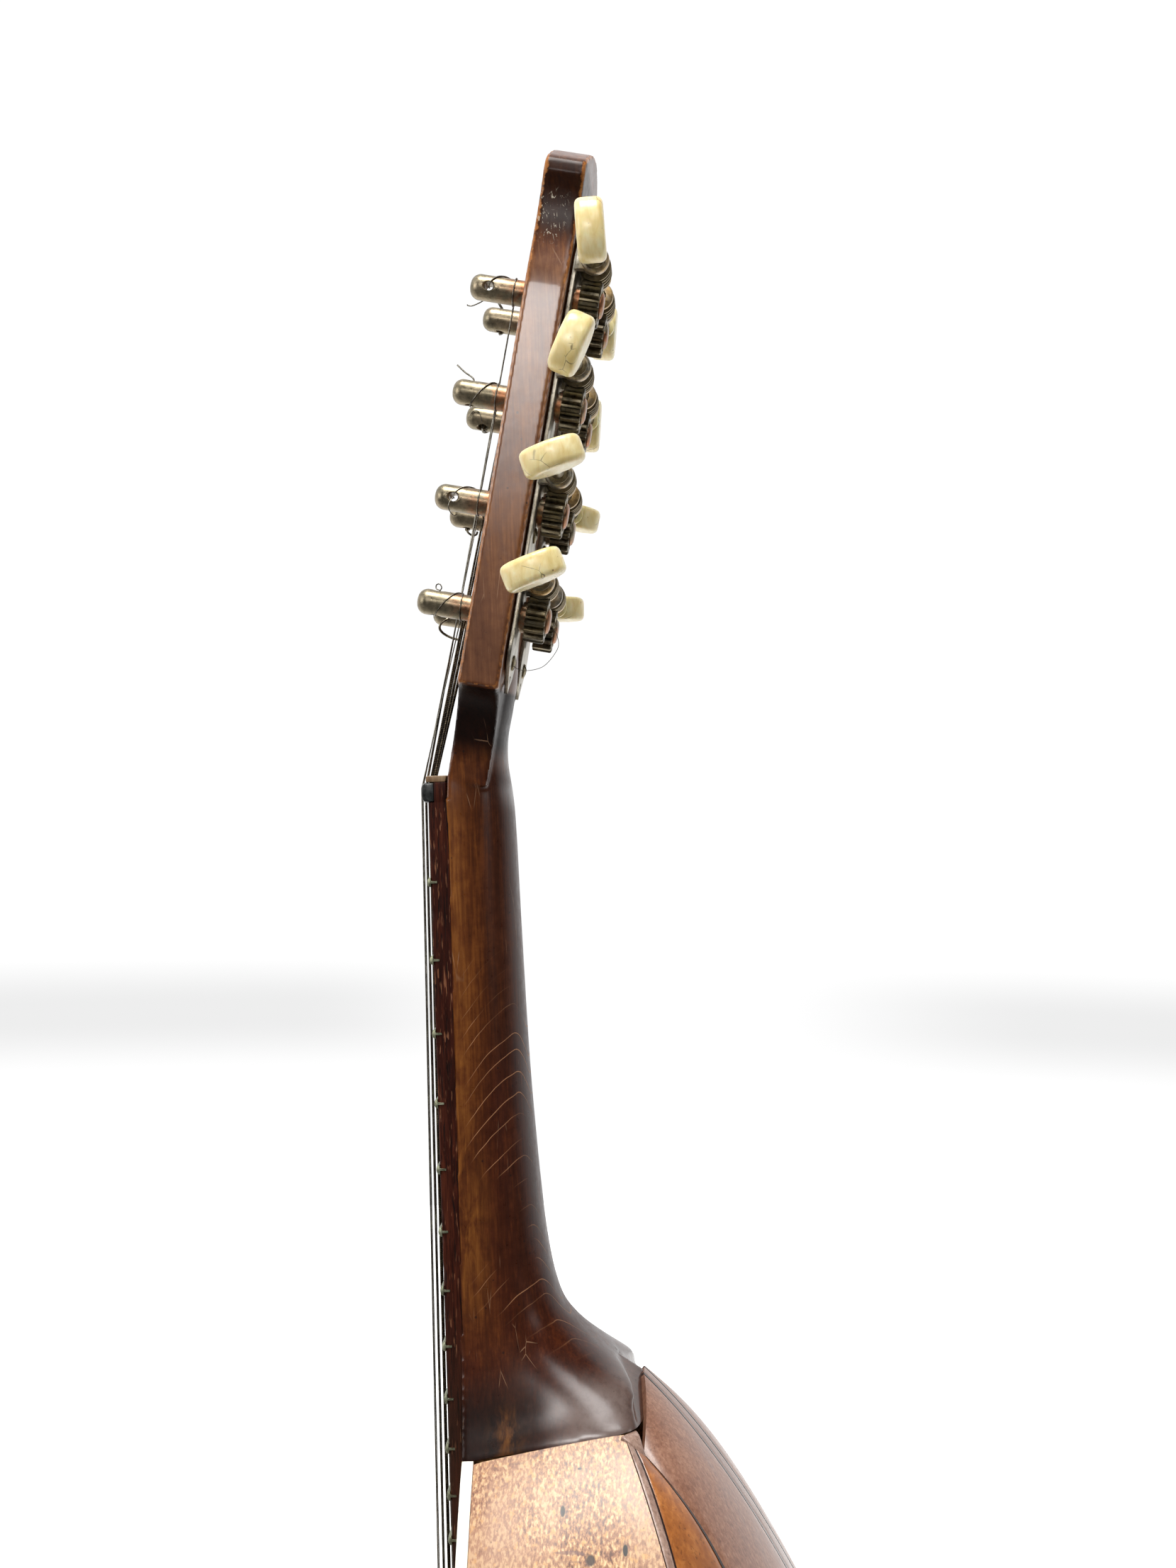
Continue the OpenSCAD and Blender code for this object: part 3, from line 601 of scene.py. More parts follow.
def neck_material():
    """Varnished maple-brown neck: colour, wear and scratches from per-point masks on the mesh, with painted shade and a
    painted heel sheen from the same masks.
    """
    m = M("neck_wood")
    fine = m.noise(m.mapping(scale=(1, 1, 0.05)), 1500, 6, 0.6, 0.5)
    band = m.noise(m.mapping(scale=(1, 1, 0.10)), 170, 4, 0.55, 0.9)
    mott = m.noise(m.obj, 420, 5, 0.65, 0.2)
    f = m.math("ADD", m.math("MULTIPLY", fine, 0.40), m.math("ADD", m.math("MULTIPLY", band, 0.35), m.math("MULTIPLY", mott, 0.25)))
    orange = m.ramp(f, [(0.34, srgb(64, 28, 7)), (0.49, srgb(96, 49, 14)), (0.64, srgb(136, 80, 29))])
    brown = m.ramp(f, [(0.34, srgb(38, 11, 4)), (0.50, srgb(62, 24, 8)), (0.66, srgb(92, 43, 17))])
    black = m.ramp(f, [(0.35, srgb(12, 6, 4)), (0.65, srgb(34, 14, 8))])
    headc = m.ramp(f, [(0.34, srgb(84, 48, 28)), (0.50, srgb(108, 68, 42)), (0.66, srgb(138, 94, 62))])
    tone = m.attr("tone")      # 0 orange, 1 brown
    dark = m.attr("dark")
    tv = m.math("ADD", tone, m.math("MULTIPLY", m.math("SUBTRACT", band, 0.5), 0.9), clamp=True)
    col = m.mix(tv, orange, brown)
    col = m.mix(m.attr("side"), col, headc)
    # painted shade: near-black mixed in where the dark mask is high
    col = m.mix(m.math("ADD", dark, m.math("MULTIPLY", m.math("MULTIPLY", m.math("SUBTRACT", mott, 0.5), 0.6), dark), clamp=True), col, black)
    # rubbed spots that show lighter wood
    rub = m.attr("rub")
    rubn = m.math("MULTIPLY", rub, m.maprange(m.noise(m.mapping(scale=(1, 1, 0.35)), 260, 4, 0.6, 0.6), 0.40, 0.62), clamp=True)
    col = m.mix(rubn, col, m.ramp(fine, [(0.3, srgb(112, 60, 18)), (0.7, srgb(162, 104, 44))]))
    # worn arrises
    wear = m.attr("wear")
    wn = m.noise(m.obj, 900, 4, 0.6, 0.2)
    wm = m.math("MULTIPLY", m.maprange(m.math("ADD", wear, m.math("MULTIPLY", m.math("SUBTRACT", wn, 0.5), 1.3)), 0.60, 1.0), 0.75)
    col = m.mix(wm, col, m.ramp(fine, [(0.3, srgb(134, 72, 26)), (0.7, srgb(196, 134, 74))]))
    # arched scratches: thin lines at irregular values of the arc field
    arc = m.attr("arc")
    jit = m.math("MULTIPLY", m.math("SUBTRACT", m.noise(m.obj, 120, 2, 0.5), 0.5), 1.6)
    arcj = m.math("ADD", arc, jit)
    cmb = m.nt.nodes.new("ShaderNodeCombineXYZ")
    m.link(m.math("MULTIPLY", arcj, 0.20), cmb.inputs[0])
    vo = m.nt.nodes.new("ShaderNodeTexVoronoi")
    vo.voronoi_dimensions = "1D"
    vo.feature = "DISTANCE_TO_EDGE"
    vo.inputs["Scale"].default_value = 1.0
    m.link(m.math("MULTIPLY", arcj, 0.21), vo.inputs["W"])
    line = m.maprange(vo.outputs["Distance"], 0.010, 0.034, 1.0, 0.0)
    gate = m.maprange(m.noise(m.mapping(scale=(1, 1, 1), loc=(3, 1, 2)), 42, 2, 0.5), 0.46, 0.60)
    sc = m.math("MULTIPLY", m.math("MULTIPLY", line, gate), m.attr("scratch"), clamp=True)
    col = m.mix(m.math("MULTIPLY", sc, 0.75), col, srgb(186, 134, 96))
    # straight fine scratches and pale nicks
    s1 = m.voronoi(m.mapping(scale=(1, 1.0, 0.11), rot=(0.5, 0, 0)), 330, "DISTANCE_TO_EDGE")
    s1m = m.math("MULTIPLY", m.maprange(s1, 0.004, 0.018, 1.0, 0.0), m.maprange(m.noise(m.mapping(loc=(7, 7, 7)), 95, 2, 0.5), 0.60, 0.70))
    col = m.mix(m.math("MULTIPLY", s1m, 0.35), col, srgb(190, 150, 118))
    # painted reflection: grey sheen low on the heel, mixed into the colour
    hz = m.math("MULTIPLY", m.attr("painted_heel_sheen"), m.maprange(mott, 0.25, 0.6, 0.55, 1.0), clamp=True)
    col = m.mix(hz, col, srgb(116, 100, 94))
    # dust and lint that clings near the tip
    du = m.attr("dust")
    d1 = m.voronoi(m.mapping(scale=(1, 1.6, 0.55), rot=(0.9, 0, 0)), 900, "DISTANCE_TO_EDGE")
    d2 = m.noise(m.obj, 620, 5, 0.7, 1.2)
    dm = m.math("MULTIPLY", m.math("MULTIPLY", m.maprange(d1, 0.02, 0.08, 1.0, 0.0), m.maprange(d2, 0.52, 0.62)), du, clamp=True)
    col = m.mix(dm, col, srgb(214, 205, 186))
    spk = m.voronoi(m.obj, 240, "F1")
    col = m.mix(m.math("MULTIPLY", m.maprange(spk, 0.05, 0.085, 1.0, 0.0), 0.7), col, srgb(30, 16, 12))
    m.color(col)
    rr = m.math("ADD", m.maprange(mott, 0.3, 0.7, 0.26, 0.42, smooth=False), m.math("MULTIPLY", m.math("ADD", dm, sc), 0.35), clamp=True)
    m.rough(rr)
    m.set(coat=0.8, coat_rough=0.22, spec=0.12)
    m.p.inputs["Coat IOR"].default_value = 1.68
    m.link(m.attr("coatw"), m.p.inputs["Coat Weight"])
    hgt = m.math("SUBTRACT", m.math("ADD", m.math("MULTIPLY", fine, 0.35), m.math("MULTIPLY", mott, 0.6)), m.math("MULTIPLY", sc, 0.6))
    b = m.bump(hgt, 0.10, 0.0002)
    m.normal(b)
    soft = m.bump(m.noise(m.obj, 260, 3, 0.5, 0.1), 0.05, 0.0004)
    m.coat_normal(soft)
    return m.mat


MAT["neck"] = neck_material()


def fingerboard_material():
    m = M("fingerboard_wood")
    g = m.noise(m.mapping(scale=(1, 1, 0.06)), 1500, 6, 0.65, 0.5)
    b = m.noise(m.mapping(scale=(1, 1, 0.2)), 150, 3, 0.5, 0.5)
    f = m.math("ADD", m.math("MULTIPLY", g, 0.65), m.math("MULTIPLY", b, 0.35))
    col = m.ramp(f, [(0.33, srgb(20, 6, 4)), (0.48, srgb(50, 18, 10)), (0.64, srgb(80, 36, 20))])
    # short open pores, pale with dust
    pv = m.noise(m.mapping(scale=(1, 1, 0.11)), 2100, 2, 0.5, 0.0)
    pg = m.noise(m.obj, 110, 2, 0.5)
    pm = m.math("MULTIPLY", m.maprange(pv, 0.60, 0.66), m.maprange(pg, 0.36, 0.56), clamp=True)
    col = m.mix(m.math("MULTIPLY", pm, 0.6), col, srgb(146, 98, 70))
    dk = m.noise(m.mapping(scale=(1, 1, 0.08), loc=(5, 2, 1)), 1900, 3, 0.5)
    col = m.mix(m.math("MULTIPLY", m.maprange(dk, 0.56, 0.66), 0.8), col, srgb(18, 8, 7))
    z = m.sep(m.obj)[2]
    low = m.maprange(z, -0.115, -0.165)
    col = m.mix(m.math("MULTIPLY", low, 0.55), col, srgb(44, 34, 26))
    m.color(col)
    m.rough(m.maprange(g, 0.3, 0.7, 0.38, 0.62, smooth=False))
    m.set(coat=0.0, coat_rough=0.3, spec=0.10)
    m.normal(m.bump(m.math("SUBTRACT", g, m.math("MULTIPLY", m.math("ADD", pm, m.maprange(dk, 0.56, 0.66)), 0.8)), 0.45, 0.0002))
    return m.mat


MAT["fingerboard"] = fingerboard_material()


def side_rib_material():
    """Pale pinkish-gold maple, cut so that short flecks show all over."""
    m = M("side_rib_maple")
    fl = m.noise(m.mapping(scale=(0.6, 1.0, 0.34)), 1500, 2, 0.55, 0.3)
    fl2 = m.noise(m.mapping(scale=(1, 1.5, 0.8), loc=(2, 5, 3)), 1500, 3, 0.55, 0.4)
    bl = m.noise(m.mapping(scale=(1, 1, 0.7)), 60, 3, 0.5, 0.4)
    f = m.math("ADD", m.math("MULTIPLY", fl, 0.55), m.math("ADD", m.math("MULTIPLY", fl2, 0.25), m.math("MULTIPLY", bl, 0.20)))
    col = m.ramp(f, [(0.38, srgb(92, 56, 40)), (0.45, srgb(148, 100, 70)), (0.51, srgb(184, 138, 98)), (0.58, srgb(228, 194, 146))])
    col = m.mix(m.math("MULTIPLY", m.maprange(bl, 0.40, 0.62), 0.5), col, m.mix(fl, srgb(140, 98, 78), srgb(204, 160, 128)))
    gold = m.noise(m.mapping(scale=(1, 1, 0.5), loc=(9, 1, 4)), 800, 2, 0.5)
    col = m.mix(m.math("MULTIPLY", m.maprange(gold, 0.58, 0.68), 0.55), col, srgb(222, 170, 104))
    # faint dark lines across and a few round specks
    ln = m.noise(m.mapping(scale=(1, 0.10, 1.2), loc=(1, 8, 2)), 300, 2, 0.5, 0.4)
    lg = m.noise(m.mapping(loc=(4, 4, 4)), 42, 2, 0.5)
    lm = m.math("MULTIPLY", m.maprange(ln, 0.665, 0.69), m.maprange(lg, 0.50, 0.60), clamp=True)
    col = m.mix(m.math("MULTIPLY", lm, 0.6), col, srgb(110, 76, 72))
    sp = m.voronoi(m.mapping(scale=(1, 1, 0.62)), 62, "F1")
    sr = m.voronoi(m.mapping(scale=(1, 1, 0.62)), 62, "F1", out="Color")
    keep = m.math("GREATER_THAN", m.sep(sr)[0], 0.55)
    sm = m.math("MULTIPLY", m.maprange(sp, 0.045, 0.075, 1.0, 0.0), keep)
    col = m.mix(m.math("MULTIPLY", sm, 0.95), col, srgb(44, 26, 20))
    edge_y = m.sep(m.obj)[1]
    col = m.mix(m.math("MULTIPLY", m.maprange(edge_y, 0.022, 0.004), 0.28), col, srgb(146, 104, 82))

    def near_point(c, sc, r0, r1):
        n = m.nt.nodes.new("ShaderNodeVectorMath")
        n.operation = "LENGTH"
        m.link(m.mapping(scale=sc, loc=tuple(-a * b / 1000 for a, b in zip(c, sc))), n.inputs[0])
        return m.maprange(n.outputs["Value"], r0, r1, 1.0, 0.0)
    for c, sc, r in (((35.0, 22.7, -166.5), (0.40, 1, 0.40), 0.00042), ((41.2, 36.0, -172.5), (0.42, 1, 0.42), 0.00044), ((28.3, 26.2, -159.9), (1, 0.6, 1), 0.00022)):
        hm = near_point(c, sc, r, r * 1.35)
        col = m.mix(m.math("MULTIPLY", near_point(c, sc, r * 1.2, r * 2.4), 0.35), col, srgb(104, 70, 52))
        col = m.mix(hm, col, srgb(10, 5, 4))
    for c in ((25.8, 12.5, -159.5), (26.4, 17.0, -160.2), (25.0, 9.0, -158.9), (26.2, 20.5, -159.0)):
        lm2 = m.math("MULTIPLY", near_point(c, (1, 0.09, 1), 0.00012, 0.0004), m.maprange(ln, 0.35, 0.6))
        col = m.mix(m.math("MULTIPLY", lm2, 0.8), col, srgb(84, 58, 54))
    pin = m.voronoi(m.mapping(loc=(3, 3, 3)), 300, "F1")
    col = m.mix(m.math("MULTIPLY", m.maprange(pin, 0.05, 0.09, 1.0, 0.0), 0.55), col, srgb(96, 62, 48))
    m.color(col)
    m.rough(m.maprange(fl, 0.3, 0.7, 0.30, 0.48, smooth=False))
    m.set(coat=0.35, coat_rough=0.22)
    m.normal(m.bump(m.math("SUBTRACT", fl, sm), 0.16, 0.00015))
    return m.mat


MAT["side_rib"] = side_rib_material()
MAT["second_rib"] = wood("second_rib_wood", srgb(122, 66, 26), srgb(166, 100, 46), srgb(206, 140, 74), grain=(1, 1, 0.16), scale=900, mottle=0.45,
                         rough=(0.25, 0.4), coat=0.5, coat_rough=0.15, bump=0.10, blotch=srgb(134, 78, 40), pores=0.5).mat
MAT["third_rib"] = wood("third_rib_wood", srgb(106, 68, 52), srgb(138, 96, 76), srgb(166, 124, 100), grain=(1, 1, 0.10), scale=1300, mottle=0.35,
                        rough=(0.30, 0.46), coat=0.45, coat_rough=0.22, bump=0.08, pores=0.35, flecks=0.25, fleck_col=srgb(178, 140, 118)).mat
MAT["centre_rib"] = wood("centre_rib_wood", srgb(98, 64, 50), srgb(128, 92, 76), srgb(154, 118, 100), grain=(1, 1, 0.10), scale=1300, mottle=0.35,
                         rough=(0.30, 0.46), coat=0.45, coat_rough=0.2, bump=0.08).mat
MAT["seam_dark"] = wood("seam_rosewood", srgb(14, 6, 4), srgb(30, 13, 9), srgb(50, 24, 16), scale=1600, coat=0.5, coat_rough=0.15).mat
MAT["seam_band"] = wood("seam_band", srgb(96, 70, 62), srgb(150, 120, 106), srgb(186, 158, 142), grain=(1, 1, 0.12), scale=1500, coat=0.4, coat_rough=0.3, pores=0.6).mat
MAT["clasp"] = wood("clasp_wood", srgb(46, 20, 12), srgb(78, 38, 22), srgb(108, 58, 34), scale=1200, coat=0.6, coat_rough=0.12).mat
MAT["spruce"] = wood("soundboard_spruce", srgb(168, 118, 62), srgb(202, 152, 88), srgb(226, 182, 118), grain=(1, 1, 0.012), scale=620, mottle=0.25,
                     rough=(0.32, 0.46), coat=0.45, coat_rough=0.18, bump=0.10, blotch=srgb(188, 134, 74), flecks=0.2, fleck_col=srgb(236, 200, 140)).mat
MAT["inside"] = wood("block_wood", srgb(140, 100, 62), srgb(176, 134, 88), srgb(204, 164, 114), scale=900, rough=(0.55, 0.7), bump=0.2).mat
MAT["dark_inlay"] = wood("dark_inlay_wood", srgb(16, 8, 6), srgb(38, 18, 12), srgb(62, 32, 20), scale=1500, coat=0.5, coat_rough=0.15, pores=0.5).mat
MAT["ebony"] = wood("bridge_wood", srgb(10, 6, 5), srgb(26, 16, 12), srgb(46, 28, 20), scale=1500, rough=(0.25, 0.42), coat=0.25, pores=0.5).mat


def binding_material():
    m = M("binding_white")
    n = m.noise(m.mapping(scale=(1, 1, 0.3)), 500, 4, 0.6)
    y = m.noise(m.obj, 60, 2, 0.5)
    col = m.ramp(n, [(0.3, srgb(226, 220, 204)), (0.6, srgb(250, 247, 240))])
    col = m.mix(m.math("MULTIPLY", m.maprange(y, 0.5, 0.7), 0.5), col, srgb(232, 216, 182))
    cr = m.voronoi(m.mapping(scale=(1, 1, 0.35)), 260, "DISTANCE_TO_EDGE")
    col = m.mix(m.math("MULTIPLY", m.maprange(cr, 0.004, 0.02, 1, 0), 0.25), col, srgb(150, 126, 92))
    m.color(col)
    m.rough(m.maprange(n, 0.3, 0.7, 0.28, 0.42, smooth=False))
    m.set(sss=0.15, sss_scale=0.001, coat=0.3, coat_rough=0.2)
    m.normal(m.bump(n, 0.06, 0.0001))
    return m.mat


MAT["binding"] = binding_material()


def ivoroid_material():
    """Cream celluloid with layered streaks, fine cracks and brown specks."""
    m = M("button_ivoroid")
    st = m.noise(m.mapping(scale=(0.5, 1.6, 0.5), rot=(0.4, 0.2, 0)), 420, 4, 0.6, 0.6)
    bl = m.noise(m.obj, 130, 3, 0.5, 0.4)
    col = m.ramp(st, [(0.32, srgb(228, 206, 140)), (0.52, srgb(240, 224, 166)), (0.70, srgb(248, 238, 194))])
    col = m.mix(m.math("MULTIPLY", m.maprange(bl, 0.42, 0.66), 0.5), col, srgb(214, 190, 120))
    cr = m.voronoi(m.mapping(scale=(1.0, 0.8, 1.0)), 210, "DISTANCE_TO_EDGE")
    wob = m.noise(m.obj, 340, 3, 0.6)
    gate = m.maprange(m.noise(m.mapping(loc=(1, 2, 3)), 150, 2, 0.5), 0.53, 0.62)
    cm = m.math("MULTIPLY", m.math("MULTIPLY", m.maprange(m.math("ADD", cr, m.math("MULTIPLY", m.math("SUBTRACT", wob, 0.5), 0.06)), 0.0, 0.020, 1, 0), gate), 0.8, clamp=True)
    col = m.mix(cm, col, srgb(84, 58, 26))
    sp = m.voronoi(m.mapping(loc=(5, 5, 5)), 430, "F1")
    sg = m.maprange(m.noise(m.mapping(loc=(8, 2, 6)), 170, 2, 0.5), 0.50, 0.60)
    sm = m.math("MULTIPLY", m.math("MULTIPLY", m.maprange(sp, 0.07, 0.13, 1, 0), sg), 0.85, clamp=True)
    col = m.mix(sm, col, srgb(110, 84, 44))
    m.color(col)
    m.rough(m.maprange(bl, 0.3, 0.7, 0.26, 0.4, smooth=False))
    m.set(sss=0.35, sss_scale=0.0025, coat=0.35, coat_rough=0.16)
    m.p.inputs["Subsurface Radius"].default_value = (1.0, 0.75, 0.4)
    m.normal(m.bump(m.math("SUBTRACT", m.math("MULTIPLY", wob, 0.4), m.math("ADD", cm, sm)), 0.25, 0.00015))
    return m.mat


MAT["ivoroid"] = ivoroid_material()


def bone_material():
    m = M("bone")
    n = m.noise(m.mapping(scale=(0.3, 1, 1)), 700, 4, 0.6)
    m.color(m.ramp(n, [(0.3, srgb(176, 170, 150)), (0.55, srgb(212, 206, 186)), (0.75, srgb(232, 228, 212))]))
    m.rough(m.maprange(n, 0.3, 0.7, 0.3, 0.5, smooth=False))
    m.set(sss=0.15, sss_scale=0.001)
    m.normal(m.bump(n, 0.12, 0.0001))
    return m.mat


MAT["bone"] = bone_material()
MAT["bone_aged"] = wood("aged_bone", srgb(92, 68, 46), srgb(126, 98, 70), srgb(160, 134, 102), scale=900, rough=(0.3, 0.5), coat=0.1).mat


def nut_material():
    m = M("nut_ebony")
    n = m.noise(m.mapping(scale=(0.3, 1, 1)), 900, 5, 0.65, 0.3)
    m.color(m.ramp(n, [(0.3, srgb(10, 11, 12)), (0.55, srgb(24, 28, 28)), (0.78, srgb(58, 66, 64))]))
    m.rough(m.maprange(n, 0.3, 0.7, 0.22, 0.5, smooth=False))
    m.set(coat=0.3, coat_rough=0.2)
    m.normal(m.bump(n, 0.2, 0.0001))
    return m.mat


MAT["nut"] = nut_material()
MAT["fret"] = metal("fret_metal", srgb(98, 100, 82), srgb(146, 148, 124), srgb(190, 190, 168), rough=(0.3, 0.55), tint=srgb(96, 108, 84)).mat


def post_material():
    """Nickel worn through to brass: olive-grey, coppery towards the head, speckled with corrosion."""
    m = M("post_metal")
    n1 = m.noise(m.obj, 900, 6, 0.7, 0.3)
    n2 = m.noise(m.obj, 260, 4, 0.6, 0.5)
    f = m.math("ADD", m.math("MULTIPLY", n1, 0.5), m.math("MULTIPLY", n2, 0.5))
    col = m.ramp(f, [(0.34, srgb(104, 96, 78)), (0.48, srgb(134, 125, 104)), (0.64, srgb(166, 157, 134))])
    cop = m.math("MULTIPLY", m.attr("copper"), m.maprange(n2, 0.36, 0.62), clamp=True)
    col = m.mix(cop, col, m.ramp(n1, [(0.3, srgb(112, 70, 48)), (0.7, srgb(178, 124, 88))]))
    pit = m.maprange(m.noise(m.obj, 2400, 4, 0.7), 0.60, 0.72)
    col = m.mix(m.math("MULTIPLY", pit, 0.45), col, srgb(58, 52, 42))
    m.color(col)
    m.rough(m.maprange(n1, 0.3, 0.7, 0.24, 0.46, smooth=False))
    m.set(metal=0.92)
    m.normal(m.bump(m.math("SUBTRACT", n1, pit), 0.14, 0.0001))
    return m.mat


MAT["post"] = post_material()
MAT["gear"] = metal("gear_metal", srgb(70, 64, 52), srgb(118, 110, 92), srgb(166, 156, 132), rough=(0.25, 0.5), tint=srgb(128, 112, 80), bump=0.12).mat
MAT["worm"] = metal("worm_metal", srgb(78, 68, 52), srgb(126, 114, 90), srgb(172, 156, 124), rough=(0.25, 0.48), tint=srgb(96, 80, 56)).mat


def plate_material():
    m = M("plate_metal")
    n1 = m.noise(m.obj, 1100, 6, 0.7, 0.3)
    n2 = m.noise(m.obj, 190, 4, 0.6, 0.6)
    f = m.math("ADD", m.math("MULTIPLY", n1, 0.45), m.math("MULTIPLY", n2, 0.55))
    col = m.ramp(f, [(0.34, srgb(112, 108, 98)), (0.48, srgb(166, 162, 150)), (0.66, srgb(206, 202, 190))])
    br = m.math("MULTIPLY", m.attr("brass"), m.maprange(n2, 0.30, 0.60), clamp=True)
    col = m.mix(br, col, m.ramp(n1, [(0.3, srgb(128, 100, 62)), (0.7, srgb(198, 168, 116))]))
    m.color(col)
    m.rough(m.maprange(n1, 0.3, 0.7, 0.24, 0.5, smooth=False))
    m.set(metal=0.9)
    m.normal(m.bump(n1, 0.12, 0.0001))
    return m.mat


MAT["plate"] = plate_material()
MAT["nickel"] = metal("tailpiece_metal", srgb(120, 118, 108), srgb(168, 166, 156), srgb(206, 204, 196), rough=(0.16, 0.36), tint=srgb(150, 136, 104)).mat
MAT["wire"] = metal("string_steel", srgb(62, 59, 53), srgb(112, 108, 98), srgb(172, 168, 156), rough=(0.22, 0.38)).mat
MAT["wire_dark"] = metal("string_wound", srgb(78, 66, 50), srgb(128, 112, 88), srgb(176, 158, 128), rough=(0.25, 0.42)).mat


def pearl_material():
    m = M("inlay_pearl")
    v = m.voronoi(m.mapping(scale=(1, 1, 1)), 190, "F1", out="Color")
    n = m.noise(m.obj, 420, 3, 0.5, 1.0)
    col = m.ramp(n, [(0.3, srgb(190, 204, 196)), (0.5, srgb(228, 232, 222)), (0.7, srgb(226, 206, 216))])
    col = m.mix(0.16, col, v)
    m.color(col)
    m.set(rough=0.16, coat=0.6, coat_rough=0.06, spec=0.7)
    e = m.voronoi(m.obj, 190, "DISTANCE_TO_EDGE")
    m.normal(m.bump(m.maprange(e, 0.0, 0.03), 0.1, 0.0001))
    return m.mat


MAT["pearl"] = pearl_material()


# ------------------------------------------------------------------ neck and head
NECK_ST = [
    (46, 4, 17.2, 2, 0, 8.6), (40, 6.5, 16.9, 2, 0, 7.4), (34, 9, 16.3, 2, 0, 6.2), (27, 12, 15.8, 2.2, 0, 4.8),
    (20, 13.6, 14.5, 2.4, 0, 3.4), (14, 14, 13.2, 2.6, 0, 2.2), (8, 14, 13.0, 2.6, 0, 1),
    (0, 14.5, 14.0, 2.5, 0, 0), (-9, 14.7, 14.5, 2.4, 0, 0), (-30, 15.2, 15.0, 2.3, 0, 0),
    (-60, 15.9, 15.9, 2.3, 0, 0), (-80, 16.4, 17.0, 2.3, 0, 0), (-95, 16.8, 18.1, 2.4, 0, 0),
    (-104, 17.0, 19.1, 2.4, 0.01, 0), (-111.5, 17.2, 20.4, 2.5, 0.02, 0), (-117.9, 17.4, 22.4, 2.6, 0.03, 0),
    (-123.2, 17.8, 25.8, 2.8, 0.05, 0), (-128.0, 18.4, 29.9, 3.2, 0.08, 0), (-132.6, 19.3, 34.4, 3.8, 0.10, 0),
    (-137.9, 20.6, 39.7, 4.6, 0.12, 0), (-141.8, 21.8, 40.0, 6, 0.14, 0), (-T_JOINT, HEEL_HW, 40.2, 9, TILT, 0),
    (-T_JOINT - 2.5, HEEL_HW, 40.2, 9, TILT, 0)]
HEAD_HALF = [(14.2, 1.2), (14.5, 8), (15.8, 13.5), (18.4, 18.3), (22, 21.6), (26, 23.1), (26, 112), (25.7, 115.5), (25.1, 119), (24.6, 122.6), (24.4, 126),
             (24.5, 129.6), (24.9, 133), (25.6, 135.4), (26, 136.6), (25.8, 138.4), (24.9, 140), (22, 141.6), (16, 144.2), (8, 146.7), (0, 147.6)]


def polyline_smooth(pts, sharp, n=8):
    """Catmull-Rom through pts, broken at the indices in sharp."""
    cuts = [0] + sorted(sharp) + [len(pts) - 1]
    out = []
    for a, b in zip(cuts, cuts[1:]):
        seg = pts[a:b + 1]
        c = catmull(seg, n) if len(seg) > 2 else [seg[0], seg[-1]]
        out += c if not out else c[1:]
    return out


def build_neck():
    half = polyline_smooth(HEAD_HALF, [5, 6], 5)
    outline = half[:-1] + [(-x, s) for x, s in reversed(half)]
    # the front and back edges are a little rounded
    rows = []
    r = 0.55
    cx, cs = 0.0, 75.0
    prof = [(r, 0.0), (r * 0.55, r * 0.12), (r * 0.2, r * 0.45), (0.0, r), (0.0, HEAD_T / 2), (0.0, HEAD_T - r), (r * 0.2, HEAD_T - r * 0.45), (r * 0.55, HEAD_T - r * 0.12), (r, HEAD_T)]
    m = len(outline)
    for ins, d in prof:
        row = []
        for i, (x, s) in enumerate(outline):
            a, b = outline[i - 1], outline[(i + 1) % m]
            tx, ts = b[0] - a[0], b[1] - a[1]
            l = math.hypot(tx, ts) or 1
            row.append(H(x - ts / l * ins, d, s + tx / l * ins))
        rows.append(row)
    v, f = loft(rows)
    head = new_object("neck_head", v, f)
    pad = new_object("pad", *prism([(-20.5, 25), (20.5, 25), (20.5, 120), (17.5, 126.5), (-17.5, 126.5), (-20.5, 120)], lambda x, s: H(x, HEAD_T - 0.5, s), lambda x, s: H(x, HEAD_T + 0.4, s)))
    st = catmull(NECK_ST, 6)
    rows = []
    mm = 56
    for z, h, D, n, k, yf in st:
        row = []
        for j in range(mm + 1):
            a = math.pi * j / mm
            c, s = math.cos(a), math.sin(a)
            x = h * math.copysign(abs(c) ** (2 / n), c)
            y = yf + (D - yf) * max(s, 0) ** (2 / n)
            row.append((x, y, z + k * y))
        rows.append(row)
    shaft = new_object("shaft", *loft(rows))
    for sg in (-1, 1):
        facet_cut(shaft, (0, 33.7, -129), (0.311 * sg, 0.539, 0.782), (-0.415 * sg, 0.818, -0.398))
    ob = join([head, pad, shaft])
    ob.name = "neck_body"
    remesh(ob, 0.5)
    smooth_mesh(ob, 0.5, 3)
    soften(ob, lambda x, y, z: x < -2 and y > 26 and -144 < z < -122, 70)
    soften(ob, lambda x, y, z: x > 1 and y > 26 and -150 < z < -122, 26)
    # post holes, joint plane and one more facet across the back of the heel
    cuts = []
    for i in range(1, 9):
        x0, s0 = POST_X * side(i), post_s(i)
        cuts.append(new_object("c", *lathe([(0, -2), (3.9, -2), (3.15, 0.55), (3.0, 0.75), (3.0, HEAD_T + 2), (0, HEAD_T + 2)], 40, lambda a, b, h, x0=x0, s0=s0: H(x0 + a, h, s0 + b))))
    boolean(ob, join(cuts), solver="MANIFOLD")
    half_space(ob, (0, 0, -T_JOINT), (0, TILT, -1))
    facet_cut(ob, (0, 33.5, -128.5), (0, 0.6, 0.8), (0, 0.8, -0.6))
    return ob


def soften(ob, test, it):
    """Rounds over the part of a mesh that passes the test."""
    bm = bmesh.new()
    bm.from_mesh(ob.data)
    vs = [v for v in bm.verts if test(v.co.x * 1000, v.co.y * 1000, v.co.z * 1000 + YOKE)]
    for _ in range(it):
        bmesh.ops.smooth_vert(bm, verts=vs, factor=0.5, use_axis_x=True, use_axis_y=True, use_axis_z=True)
    bm.to_mesh(ob.data)
    bm.free()


